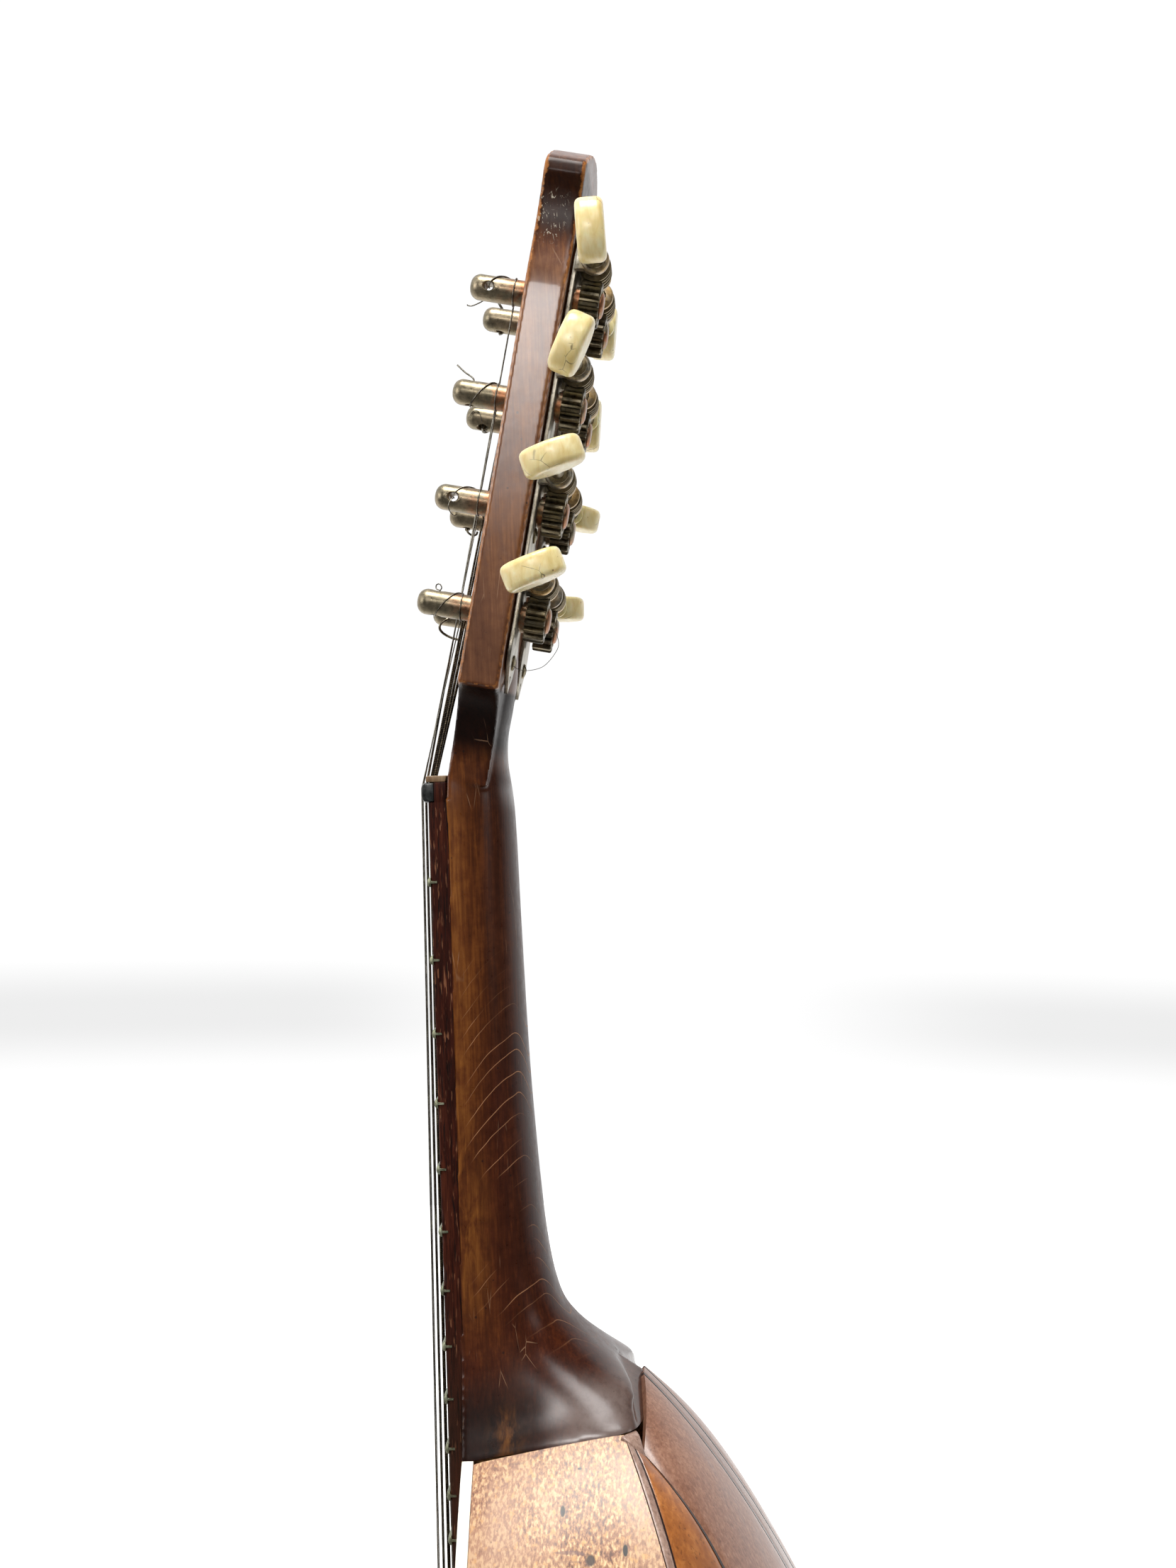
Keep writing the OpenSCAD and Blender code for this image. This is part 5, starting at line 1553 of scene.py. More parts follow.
def top_parts():
    guard = fill_outline("pickguard_visual", guard_outline(0.15), -0.02, 0.79)
    bevel(guard, 0.08, 2, 50)
    finish_piece(guard, "root", MAT["dark_inlay"], ["pickguard"], angle=40)
    # pearl ring of separate tiles, set between two thin dark lines
    rng = random.Random(7)
    tiles = []
    count = 44
    for k in range(count):
        a0, a1 = 2 * math.pi * (k + 0.035) / count, 2 * math.pi * (k + 0.965) / count
        r0, r1 = 2.75, 5.85
        pts = []
        for q in range(4):
            a = lerp(a0, a1, q / 3)
            pts.append(((HOLE_A + r1) * math.cos(a), HOLE_T + (HOLE_B + r1) * math.sin(a)))
        for q in range(3, -1, -1):
            a = lerp(a0, a1, q / 3)
            pts.append(((HOLE_A + r0) * math.cos(a), HOLE_T + (HOLE_B + r0) * math.sin(a)))
        tiles.append(fill_outline("tile%d" % k, pts, -0.02 - rng.random() * 0.03, 0.7))
    dots = []
    for k in (5, 7, 10, 12):
        z = -(fret_z(k) + fret_z(k - 1)) / 2
        r = 2.6 if k == 12 else 2.2
        dots.append(new_object("dot", *lathe([(0, -0.03), (r - 0.12, -0.03), (r - 0.03, 0.03), (r - 0.03, 0.7), (0, 0.7)], 40, lambda a, b, h, z=z: (a, fb_y(z) + h, z + b))))
    ob = join(tiles + dots)
    ob.name = "inlays_visual"
    finish_piece(ob, "root", MAT["pearl"], ["inlays"], angle=30)
    back = ring_mesh("ring_mastic", HOLE_A + 6.28, HOLE_B + 6.28, HOLE_A + 2.32, HOLE_B + 2.32, 0.01, 0.79)
    finish_piece(back, "root", MAT["dark_inlay"], angle=30)
    # bridge with a bone saddle
    rows = []
    n = 90
    for i in range(n + 1):
        u = -1 + 2 * i / n
        x = 55.2 * u
        ax = abs(x)
        top = np.interp(ax, [0, 22, 23.5, 28, 40, 50, 54, 55.2], [5.7, 5.7, 5.2, 3.5, 2.8, 2.6, 1.7, 0.9])
        hw = np.interp(ax, [0, 22, 26, 50, 54, 55.2], [4.5, 4.5, 4.9, 4.9, 3.4, 2.4])
        tw = hw * 0.5
        rows.append([(x, 0.0, -SCALE - hw), (x, -0.9, -SCALE - hw), (x, -1.4, -SCALE - hw * 0.94), (x, -top + 0.35, -SCALE - tw - 0.15), (x, -top, -SCALE - tw + 0.3), (x, -top - 0.06, -SCALE),
                     (x, -top, -SCALE + tw - 0.3), (x, -top + 0.35, -SCALE + tw + 0.15), (x, -1.4, -SCALE + hw * 0.94), (x, -0.9, -SCALE + hw), (x, 0.0, -SCALE + hw)])
    br = new_object("bridge_visual", *loft(rows))
    boolean(br, new_object("c", *prism([(-9, -0.88), (-3.4, -0.88), (-3.4, 0.88), (-9, 0.88)], lambda y, z: (-21.1, y, -SCALE + z), lambda y, z: (21.1, y, -SCALE + z))), solver="MANIFOLD")
    finish_piece(br, "root", MAT["ebony"], ["bridge"], angle=35)
    sd = new_object("saddle_visual", *prism([(-3.42, -0.84), (-3.42, 0.84), (-7.1, 0.84), (-7.7, 0.6), (-8.0, 0.2), (-8.0, -0.2), (-7.7, -0.6), (-7.1, -0.84)], lambda y, z: (-21, y, -SCALE + z), lambda y, z: (21, y, -SCALE + z)))
    bevel(sd, 0.15, 2, 50)
    cuts = [new_object("c", *tube([(x, -8.02 - r + 0.05, -SCALE - 3), (x, -8.02 - r + 0.05, -SCALE + 3)], r + 0.08, 12)) for x, r in zip(SADDLE_X, STRING_R)]
    boolean(sd, join(cuts), solver="MANIFOLD")
    finish_piece(sd, "root", MAT["bone"], ["saddle"], angle=40)


SADDLE_X = [19.4, 17.0, 7.6, 5.2, -5.0, -7.6, -16.8, -19.4]
TAIL_X = [13.4, 11.2, 5.2, 3.2, -3.2, -5.2, -11.2, -13.4]
STRING_POST = [4, 3, 2, 1, 5, 6, 7, 8]


def C(x, y, h):
    """A point in the plane of the soundboard behind the bend: h below the bend line, y out of it."""
    c, s = math.cos(CANT), math.sin(CANT)
    return (x, y * c + h * s, -T_CANT + y * s - h * c)


def tailpiece():
    outline = catmull([(-17, 86), (-17.2, 92), (-14.6, 97), (-15.4, 103), (-17, 108.6)], 6)
    outline = [(-12, 84.2)] + [(0, 85.2)] + [(12, 84.2)] + [(-x, h) for x, h in outline][0:] + [(x, h) for x, h in reversed(outline)]
    pl = new_object("tailpiece_visual", *prism(outline, lambda x, h: C(x, -0.95, h), lambda x, h: C(x, -0.06, h)))
    holes = [new_object("c", *lathe([(0, -4), (2.3, -4), (2.3, -0.9), (1.45, -0.05), (1.45, 3), (0, 3)], 32, lambda a, b, h, x=x: C(x + a, h, 100 + b))) for x in (-11, 11)]
    slot_ = [new_object("c", *prism([(-4.2 + x, 92.5), (4.2 + x, 92.5), (3.2 + x, 95.5), (-3.2 + x, 95.5)], lambda q, h: C(q, -2, h), lambda q, h: C(q, 1, h))) for x in (0,)]
    boolean(pl, join(holes + slot_), solver="MANIFOLD")
    bevel(pl, 0.12, 2, 40)
    # the bend over the end and the tab that is held by the end button
    rows = []
    for i in range(15):
        a = math.pi / 2 * i / 14
        r0, r1 = 3.9, 4.8
        cy, ch = 3.85, 108.6
        rows.append([(-17, cy - r1 * math.cos(a), ch + r1 * math.sin(a)), (17, cy - r1 * math.cos(a), ch + r1 * math.sin(a)), (17, cy - r0 * math.cos(a), ch + r0 * math.sin(a)), (-17, cy - r0 * math.cos(a), ch + r0 * math.sin(a))])
    rows.append([(-17, 8, 113.4), (17, 8, 113.4), (17, 8, 112.5), (-17, 8, 112.5)])
    for y, w in ((12, 16.6), (15, 14.5), (17.5, 11.5)):
        rows.append([(-w, y, 113.4), (w, y, 113.4), (w, y, 112.5), (-w, y, 112.5)])
    v, f = loft([[C(*q) for q in r] for r in rows])
    lip = new_object("lip", v, f)
    boolean(lip, new_object("c", *lathe([(0, -6), (4.4, -6), (4.4, 6), (0, 6)], 40, lambda a, b, h: (a, 21 + b, -447 + h))), solver="MANIFOLD")
    bevel(lip, 0.12, 2, 40)
    hooks = []
    for x in TAIL_X:
        # each hook is struck up from the plate: a short rounded tongue, leaning toward the tail
        rows2 = []
        for i in range(9):
            u = i / 8
            y = -0.5 - 3.0 * u
            h = 87.4 + 0.9 * u * u
            w = 0.72 * (1 - 0.25 * u) * (1 if u < 0.9 else 0.6)
            rows2.append([C(x + w * math.cos(q), y, h + w * 0.62 * math.sin(q)) for q in [2 * math.pi * j / 14 for j in range(14)]])
        hooks.append(new_object("h", *loft(rows2)))
    ob = join([pl, lip] + hooks)
    ob.name = "tailpiece_visual"
    finish_piece(ob, "root", MAT["nickel"], ["tailpiece"], angle=35)


def screw_head(place, r, h, slot_w=0.45, dome=0.35, rot=0.3):
    """A slotted, slightly domed screw head; place(a, b, up)."""
    prof = [(0, -1.2), (r * 0.45, -1.2), (r * 0.55, -0.2), (r, 0.0), (r, h * 0.35), (r * 0.93, h * 0.7), (r * 0.7, h), (r * 0.35, h + dome * 0.6), (0, h + dome * 0.7)]
    ob = new_object("screw", *lathe(prof, 32, place))
    c, s = math.cos(rot), math.sin(rot)
    cut = new_object("c", *prism([(-r * 1.3, -slot_w / 2), (r * 1.3, -slot_w / 2), (r * 1.3, slot_w / 2), (-r * 1.3, slot_w / 2)],
                                 lambda a, b: place(a * c - b * s, a * s + b * c, h * 0.45), lambda a, b: place(a * c - b * s, a * s + b * c, h + 2)))
    boolean(ob, cut, solver="MANIFOLD")
    return ob


SCREWS = [(sx * x, s) for sx in (-1, 1) for x, s in ((15.4, 29.6), (15.4, 58.5), (15.4, 106.2), (15.4, 125.2))]


def screws():
    rng = random.Random(3)
    obs = []
    for x0, s0 in SCREWS:
        obs.append(screw_head(lambda a, b, h, x0=x0, s0=s0: H(x0 + a, PLATE_D + PLATE_T + h, s0 + b), 1.75, 0.55, rot=rng.random() * 3))
    for x0 in (-11, 11):
        obs.append(screw_head(lambda a, b, h, x0=x0: C(x0 + a, -0.97 - h, 100 + b), 2.15, 0.5, rot=rng.random() * 3))
    ob = join(obs)
    ob.name = "plate_screws_visual"
    finish_piece(ob, "root", MAT["plate_screw"], ["plate_screws"], angle=35)


MAT["plate_screw"] = metal("plate_screw_metal", srgb(60, 54, 40), srgb(116, 106, 82), srgb(168, 156, 124), rough=(0.25, 0.5), tint=srgb(136, 108, 68)).mat
soundboard()
top_parts()
tailpiece()
screws()


def strap_button():
    prof = [(0, -8.35), (2.0, -8.3), (3.6, -8.05), (4.6, -7.55), (5.0, -6.8), (5.0, -4.05), (4.8, -3.82), (4.0, -3.7), (3.4, -3.3), (3.2, -2.6), (3.2, 0.05), (2.5, 0.06), (2.5, 18), (0, 18)]
    ob = new_object("strap_button_visual", *lathe(prof, 72, lambda a, b, h: (a, 21 + b, -446.7 + h)))
    bevel(ob, 0.1, 2, 40)
    finish_piece(ob, "root", MAT["ebony"], ["strap_button"], angle=40)
    dot = new_object("strap_button_dot", *lathe([(0, -8.5), (0.8, -8.46), (1.15, -8.38), (1.15, -7.9), (0, -7.9)], 32, lambda a, b, h: (a, 21 + b, -446.7 + h)))
    finish_piece(dot, "root", MAT["pearl"], angle=40)


strap_button()


def clasp():
    """End clasp: two wings over the side ribs, and a cap over the rib ends."""
    for sg, tag in ((1, "treble"), (-1, "bass")):
        rows = []
        n = 80
        for i in range(n + 1):
            q = i / n
            t = 404 + (T_RIB - 404) * q
            f = (t - SEAM_T0[0]) / (T_RIB - SEAM_T0[0])
            u = 0.25 + 0.75 * q ** 1.4 - 0.05 * math.sin(q * math.pi) 
            m = 16
            out = [rib_pt(0, f, u * j / m, -1.3 + (0.5 * max(0, 1 - min(j, m - j) / 1.5) if True else 0), 0.012) for j in range(m + 1)]
            inn = [rib_pt(0, f, u * j / m, -0.3, 0.012) for j in range(m, -1, -1)]
            rows.append([(sg * p[0], p[1], p[2]) for p in out + inn])
        ob = new_object("clasp_wing_" + tag, *loft(rows))
        finish_piece(ob, "root", MAT["clasp"], ["end_clasp"] if sg > 0 else [], angle=35)
    rows = []

    def edge(u, f):
        if u > 0.66:
            return rib_pt(0, f, (1 - u) / 0.34, -0.6, 0.012)
        if u > 0.33:
            return rib_pt(1, f, (0.66 - u) / 0.33, -0.6, 0.04)
        v = (0.33 - u) / 0.33
        if v < 0.999:
            return rib_pt(2, f, v, -0.6, 0.04)
        p = seam(3, f)
        return np.array([0, p[1] + 0.6, p[2]])
    for g, dz in ((1.0, 0.1), (1.005, 0.6), (0.985, 1.4), (0.94, 2.1), (0.86, 2.8), (0.75, 3.4), (0.6, 3.85), (0.45, 4.02)):
        row = []
        for j in range(97):
            a = 1 - j / 48
            p = edge(abs(a), 1.0)
            row.append((math.copysign(p[0], a) * g if abs(a) > 1e-6 else 0.0, (p[1] - 21) * g + 21, max(p[2] - dz, -446.58)))
        rows.append(row)
    ob = new_object("clasp_cap", *loft(rows))
    boolean(ob, new_object("c", *lathe([(0, -20), (2.6, -20), (2.6, 20), (0, 20)], 48, lambda a, b, h: (a, 21 + b, -446 + h))), solver="MANIFOLD")
    finish_piece(ob, "root", MAT["clasp"], angle=35)


clasp()
for name, mat in (("end_blocks", "inside"), ("linings", "inside"), ("soundboard_bars", "inside")):
    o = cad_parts[name]
    o.data.materials.clear()
    o.data.materials.append(MAT[mat])


# ------------------------------------------------------------------ tuning machines
HOLE_TURN = [0, 90, 0, 90, 90, 60, 90, 0]
BUTTON_TURN = [14, -14, 119, 121, 5, 6, 88, 100]
POST_WIRE = {}
for k_, i_ in enumerate(STRING_POST):
    POST_WIRE[i_] = STRING_R[k_]


def wound_material():
    """Wound string: dull bronze wrap, drawn as fine ridges along the length."""
    m = M("string_wound")
    z = m.sep(m.obj)[2]
    ridge = m.math("SINE", m.math("MULTIPLY", z, 2 * math.pi / 0.00042))
    n = m.noise(m.obj, 900, 4, 0.6)
    col = m.ramp(n, [(0.3, srgb(44, 38, 30)), (0.5, srgb(78, 69, 55)), (0.7, srgb(132, 119, 97))])
    col = m.mix(m.maprange(ridge, -0.2, -0.9), col, srgb(26, 20, 16))
    m.color(col)
    m.rough(m.maprange(n, 0.3, 0.7, 0.26, 0.42, smooth=False))
    m.set(metal=0.95)
    m.normal(m.bump(ridge, 0.3, 0.00005))
    return m.mat


MAT["wire_dark"] = wound_material()


def post(i):
    sg, s0 = side(i), post_s(i)
    x0 = POST_X * sg
    barrel = [(2.9, -10.9 + q * 1.3) for q in range(9)]
    prof = [(0, -13.1), (0.8, -13.07), (1.5, -12.9), (2.1, -12.55), (2.5, -12.1), (2.76, -11.6), (2.87, -11.2)] + barrel
    prof += [(2.9, 10.74), (3.5, 10.75), (3.5, 11.74), (2.1, 11.79), (2.1, 16.41), (2.9, 16.42), (2.9, 16.66), (2.6, 17.02), (1.9, 17.24), (0.9, 17.3), (0, 17.3)]
    ob = new_object("post_%d_visual" % i, *lathe(prof, 64, lambda a, b, h: H(x0 + a, h, s0 + b)))
    t = math.radians(HOLE_TURN[i - 1])
    cx, cs = math.cos(t), -math.sin(t)
    cut = [(0, -4), (1.5, -4), (1.5, -2.86), (1.22, -2.68), (1.0, -2.45), (1.0, 2.45), (1.22, 2.68), (1.5, 2.86), (1.5, 4), (0, 4)]
    boolean(ob, new_object("c", *lathe(cut, 32, lambda a, b, h: H(x0 + h * cx - b * cs, -8.7 + a, s0 + h * cs + b * cx))), solver="MANIFOLD")
    # the copper mask: more brass showing towards the head
    co = coords(ob)
    s_ = co[:, 1] * ST + (co[:, 2] - HZ) * CT
    d_ = co[:, 1] * CT - (co[:, 2] - HZ) * ST
    put_attr(ob, "copper", np.clip(ss(d_, -7.5, -1.5) * 0.9 + 0.12, 0, 1))
    finish_piece(ob, "peg_%d" % i, MAT["post"], ["post_%d" % i], angle=38)


def gear(i):
    sg, s0 = side(i), post_s(i)
    x0 = POST_X * sg
    pts = []
    for k in range(14):
        base = math.radians(360 * k / 14 + 90)
        for r, w in ((3.9, -0.66), (4.5, -0.56), (4.95, -0.43), (5.2, -0.30), (5.2, 0.30), (4.95, 0.43), (4.5, 0.56), (3.9, 0.66)):
            pts.append((r * math.cos(base) - w * math.sin(base), r * math.sin(base) + w * math.cos(base)))
    cx = 0.0
    rows = []
    for d, k in ((11.82, 0.965), (12.1, 0.995), (12.25, 1.0), (15.95, 1.0), (16.15, 0.995), (16.38, 0.965)):
        row = []
        for x, y in pts:
            r = math.hypot(x, y)
            q = k if r > 4.2 else 1.0
            row.append(H(x0 + x * q, d, s0 + y * q))
        rows.append(row)
    ob = new_object("gear_%d_visual" % i, *loft(rows))
    boolean(ob, new_object("c", *lathe([(0, 10), (2.2, 10), (2.2, 18), (0, 18)], 40, lambda a, b, h: H(x0 + a, h, s0 + b))), solver="MANIFOLD")
    # a shallow turned recess in the back face
    boolean(ob, new_object("c", *lathe([(0, 15.9), (3.2, 15.9), (3.5, 16.2), (3.6, 17), (0, 17)], 48, lambda a, b, h: H(x0 + a, h, s0 + b))), solver="MANIFOLD")
    finish_piece(ob, "peg_%d" % i, MAT["gear"], ["gear_%d" % i], angle=30)


def worm(i):
    sg, s0 = side(i), post_s(i) + WORM_UP
    x0 = POST_X * sg
    lead = 2 * math.pi * 4.7 / 14
    place = lambda a, b, h: H(x0 + sg * h, WORM_D + a, s0 + b)
    core = new_object("worm_%d_visual" % i, *lathe([(0, -7.6), (1.25, -7.6), (1.5, -7.35), (1.5, -5.6), (1.7, -5.5), (2.15, -5.4), (2.3, -5.2), (2.3, 5.95), (2.1, 6.15), (1.6, 6.2), (1.5, 6.3), (1.5, 9.4), (1.9, 9.42), (2.4, 9.6), (2.4, 10.4), (1.9, 10.58),
                                                    (1.5, 10.6), (1.5, 28.8), (1.3, 29), (0, 29)], 48, place))
    rows = []
    n = int(4.2 * 40)
    for q in range(n + 1):
        u = -2.1 + 4.2 * q / n
        ang = math.radians(360 * u + 90)
        e = min(1.0, min(q, n - q) / 14)
        hgt = 0.35 + 0.65 * smooth01(e)
        row = []
        for w, r in ((-0.52, 2.2), (-0.36, 3.0), (-0.24, 3.5), (-0.12, 3.58), (0.12, 3.58), (0.24, 3.5), (0.36, 3.0), (0.52, 2.2)):
            rr = 2.2 + (r - 2.2) * hgt
            row.append(H(x0 + (u * lead + w * (0.75 + 0.25 * e)), WORM_D + rr * math.cos(ang), s0 + rr * math.sin(ang)))
        rows.append(row)
    thr = new_object("thread", *loft(rows))
    ob = join([core, thr])
    ob.name = "worm_%d_visual" % i
    finish_piece(ob, "key_%d" % i, MAT["worm"], ["worm_%d" % i], angle=38)


def button(i):
    sg, s0 = side(i), post_s(i) + WORM_UP
    x0 = POST_X * sg
    t = math.radians(BUTTON_TURN[i - 1])
    c_, s_ = math.cos(t), math.sin(t)
    rng = random.Random(100 + i)
    outline = []
    n = 72
    for q in range(n):
        a = 2 * math.pi * q / n
        c, s = math.cos(a), math.sin(a)
        x = 5.6 + 5.4 * math.copysign(abs(c) ** 0.9, c)
        z = 7.3 * math.copysign(abs(s) ** 0.9, s) * (1 - 0.16 * (1 - c) / 2)
        outline.append((x, z))

    def inset(d):
        out = []
        for q in range(n):
            a, b = outline[q - 1], outline[(q + 1) % n]
            tx, tz = b[0] - a[0], b[1] - a[1]
            l = math.hypot(tx, tz)
            out.append((outline[q][0] - tz / l * d, outline[q][1] + tx / l * d))
        return out
    rows = []
    prof = [(2.2, -3.0), (1.3, -2.96), (0.8, -2.82), (0.42, -2.56), (0.15, -2.15), (0.03, -1.6), (-0.03, 0.0), (0.03, 1.6), (0.15, 2.15), (0.42, 2.56), (0.8, 2.82), (1.3, 2.96), (2.2, 3.0)]
    sd = rng.random() * 50
    for ins, d in prof:
        ring = inset(max(ins, 0.0))
        row = []
        for x, z in ring:
            nz = 0.06 * noise.noise(Vector((x * 0.5 + sd, z * 0.5, d * 0.6)))
            row.append((x * (1 - 0.0), d + nz * (1 if d > 0 else -1), z))
        rows.append(row)
    place = lambda x, d, z: H(x0 + sg * (24.0 + x), WORM_D + d * c_ - z * s_, s0 + d * s_ + z * c_)
    v, f = loft([[place(*p) for p in r] for r in rows], caps=False)
    # flat end faces: rings shrinking to the middle
    for sgn, row0 in ((-1, 0), (1, len(rows) - 1)):
        ring_prev = [row0 * n + q for q in range(n)]
        base = rows[row0]
        mx, mz = 5.6, 0.0
        for k in (0.7, 0.35):
            start = len(v)
            for x, d, z in base:
                v.append(place(mx + (x - mx) * k, d + sgn * 0.0 * (1 - k), mz + (z - mz) * k))
            ring = list(range(start, start + n))
            for q in range(n):
                r_ = (q + 1) % n
                f.append((ring_prev[q], ring_prev[r_], ring[r_], ring[q]))
            ring_prev = ring
        ctr = len(v)
        v.append(place(mx, base[0][1], mz))
        for q in range(n):
            f.append((ring_prev[q], ring_prev[(q + 1) % n], ctr))
    body = new_object("button_%d_visual" % i, v, f)
    # turned neck of the button where it takes the shaft
    neck_ = new_object("neck", *lathe([(1.55, -1.3), (2.3, -1.3), (2.62, -1.1), (2.7, -0.7), (2.66, 0.2), (2.5, 1.2), (2.6, 2.4), (1.55, 2.6), (1.55, -1.3)], 48, lambda a, b, h: H(x0 + sg * (24 + h), WORM_D + a, s0 + b)))
    ob = join([body, neck_])
    ob.name = "button_%d_visual" % i
    finish_piece(ob, "key_%d" % i, MAT["ivoroid"], ["button_%d" % i], angle=40)


def side_plate(sg, tag):
    pts = [(22.4, 29.6), (23.2, 33), (22.6, 36.5), (22.6, 119.6), (20.8, 124), (18.4, 127.2), (12.4, 127.2), (10, 124), (8.4, 119.6), (8.2, 36.5), (7.2, 32), (9.2, 26.8), (13.4, 24.2), (15.4, 22.6), (17.6, 24.6)]
    out = catmull(pts[13:] + pts[:3], 6)[:-1] + [pts[2]] + catmull(pts[3:5], 1)[:-1] + catmull(pts[4:9], 4)[:] + [pts[9]] + catmull(pts[9:14], 6)[1:-1]
    base = new_object("tuner_plate_%s_visual" % tag, *prism(out, lambda x, s: H(sg * x, PLATE_D, s), lambda x, s: H(sg * x, PLATE_D + PLATE_T - 0.01, s)))
    tri = [(14.2, 26.6), (16.6, 26.6), (15.4, 24.6)]
    cuts = [new_object("c", *prism(tri, lambda x, s: H(sg * x, PLATE_D - 2, s), lambda x, s: H(sg * x, PLATE_D + 3, s)))]
    for i in range(1, 5):
        s0 = post_s(i)
        cuts.append(new_object("c", *lathe([(0, 5), (3.0, 5), (3.0, 13), (0, 13)], 40, lambda a, b, h, s0=s0: H(sg * POST_X + a, h, s0 + b))))
    for x, s in ((15.4, 29.6), (15.4, 58.5), (15.4, 106.2), (15.4, 125.2)):
        cuts.append(new_object("c", *lathe([(0, 5), (1.0, 5), (1.0, 13), (0, 13)], 24, lambda a, b, h, s=s: H(sg * x + a, h, s + b))))
    boolean(base, join(cuts), solver="MANIFOLD")
    bevel(base, 0.12, 2, 50)
    nbase = len(base.data.vertices)
    lugs = []
    for i in range(1, 5):
        s0 = post_s(i) + WORM_UP
        # outer lug: a rounded bell; inner lug: a plain ring
        place = lambda a, b, h: H(sg * h, WORM_D + a, s0 + b)
        bell = [(1.58, 21.0), (2.6, 21.0), (2.95, 21.12), (3.2, 21.5), (3.3, 22.1), (3.3, 22.6), (3.22, 23.1), (2.98, 23.5), (2.6, 23.74), (2.3, 23.78), (2.0, 23.5), (1.7, 22.9), (1.58, 22.4), (1.58, 21.0)]
        lugs.append(new_object("l", *lathe(bell, 56, place)))
        ring = [(1.58, 7.4), (3.0, 7.4), (3.25, 7.55), (3.3, 7.8), (3.3, 8.6), (3.25, 8.85), (3.0, 9.0), (1.58, 9.0), (1.58, 7.4)]
        lugs.append(new_object("l", *lathe(ring, 48, place)))
        for x_a, x_b in ((7.4, 9.0), (21.0, 23.6)):
            foot = [(PLATE_D + 0.4, -2.9), (PLATE_D + 0.4, 2.9), (PLATE_D + PLATE_T + 0.3, 2.62), (WORM_D - 1.2, 2.55), (WORM_D - 1.9, 1.3), (WORM_D - 1.9, -1.3), (WORM_D - 1.2, -2.55), (PLATE_D + PLATE_T + 0.3, -2.62)]
            ft = new_object("l", *prism(foot, lambda d, s: H(sg * (x_a + 0.15), d, s0 + s), lambda d, s: H(sg * (x_b - 0.15), d, s0 + s)))
            bevel(ft, 0.14, 2, 40)
            lugs.append(ft)
    ob = join([base] + lugs)
    ob.name = "tuner_plate_%s_visual" % tag
    co = coords(ob)
    d_ = co[:, 1] * CT - (co[:, 2] - HZ) * ST
    put_attr(ob, "brass", np.clip(ss(d_, PLATE_D + PLATE_T + 0.4, PLATE_D + PLATE_T + 2.2) + 0.12, 0, 1))
    finish_piece(ob, "root", MAT["plate"], ["tuner_plate_" + tag], angle=38)


for i in range(1, 9):
    post(i)
    gear(i)
    worm(i)
    button(i)
side_plate(1, "treble")
side_plate(-1, "bass")


# ------------------------------------------------------------------ strings, turns on the posts, loose ends
TURNS = {1: (1, -0.75), 2: (1, -0.85), 3: (1, 0.8), 4: (1, 0.9), 5: (3, 0.75), 6: (2, 0.95), 7: (2, 0.9), 8: (1, 1.1)}
# loose pieces of wire, as (x, d, s) from the post's own centre line; x positive is toward the treble side
ENDS = {
    1: [([(-1.5, -8.7, 0), (-2.8, -8.9, -0.4), (-3.8, -10.2, -1.9), (-3.9, -12.4, -3.4), (-3.8, -13.5, -3.6), (-3.8, -13.7, -3.4)], 0.14)],
    2: [([(0, -8.7, 1.4), (0.05, -8.75, 2.6), (0.1, -9.2, 3.5), (0.15, -11.2, 4.5), (0.1, -13.1, 5.8)], 0.19)],
    3: [([(1.5, -8.7, -0.1), (2.7, -8.9, -0.5), (3.2, -9.3, -1.5), (3.1, -9.3, -2.6), (2.2, -8.8, -3.5), (0.8, -8.1, -3.9), (0.3, -7.7, -3.5)], 0.12)],
    4: [([(0, -8.7, 1.4), (0.1, -8.5, 2.7), (0.3, -8.2, 3.6), (0.2, -8.8, 4.3), (0.0, -9.5, 4.0), (0.1, -9.4, 3.2), (0.5, -8.6, 2.9)], 0.14)],
    5: [([(0, -8.7, 1.4), (0.1, -8.9, 2.7), (0.3, -9.6, 3.6), (0.4, -10.7, 4.9)], 0.3)],
    6: [([(0.7, -8.7, 1.2), (1.3, -8.8, 2.5), (1.8, -9.6, 3.1), (2.0, -11.4, 3.25), (2.1, -12.9, 3.2), (2.3, -13.35, 2.95), (2.45, -12.9, 2.75), (2.3, -11.0, 2.75), (2.2, -9.4, 2.7)], 0.2),
        ([(2.7, -12.2, -0.9), (2.95, -11.7, 0.4), (2.95, -10.8, 1.1), (2.95, -9.9, 0.8), (3.0, -9.3, -0.3), (2.9, -8.9, -1.3)], 0.1)],
    7: [([(0, -8.7, -1.4), (0.2, -8.6, -2.8), (0.4, -8.0, -3.8), (0.6, -6.8, -4.3), (0.5, -6.0, -3.9), (0.4, -5.9, -3.2)], 0.25)],
    8: [([(1.6, -8.7, -0.5), (3.0, -9.0, -1.2), (3.4, -10.4, -2.6), (3.2, -10.6, -3.9), (2.8, -9.6, -4.9), (2.4, -7.6, -5.6), (2.2, -5.4, -5.8)], 0.3)],
}


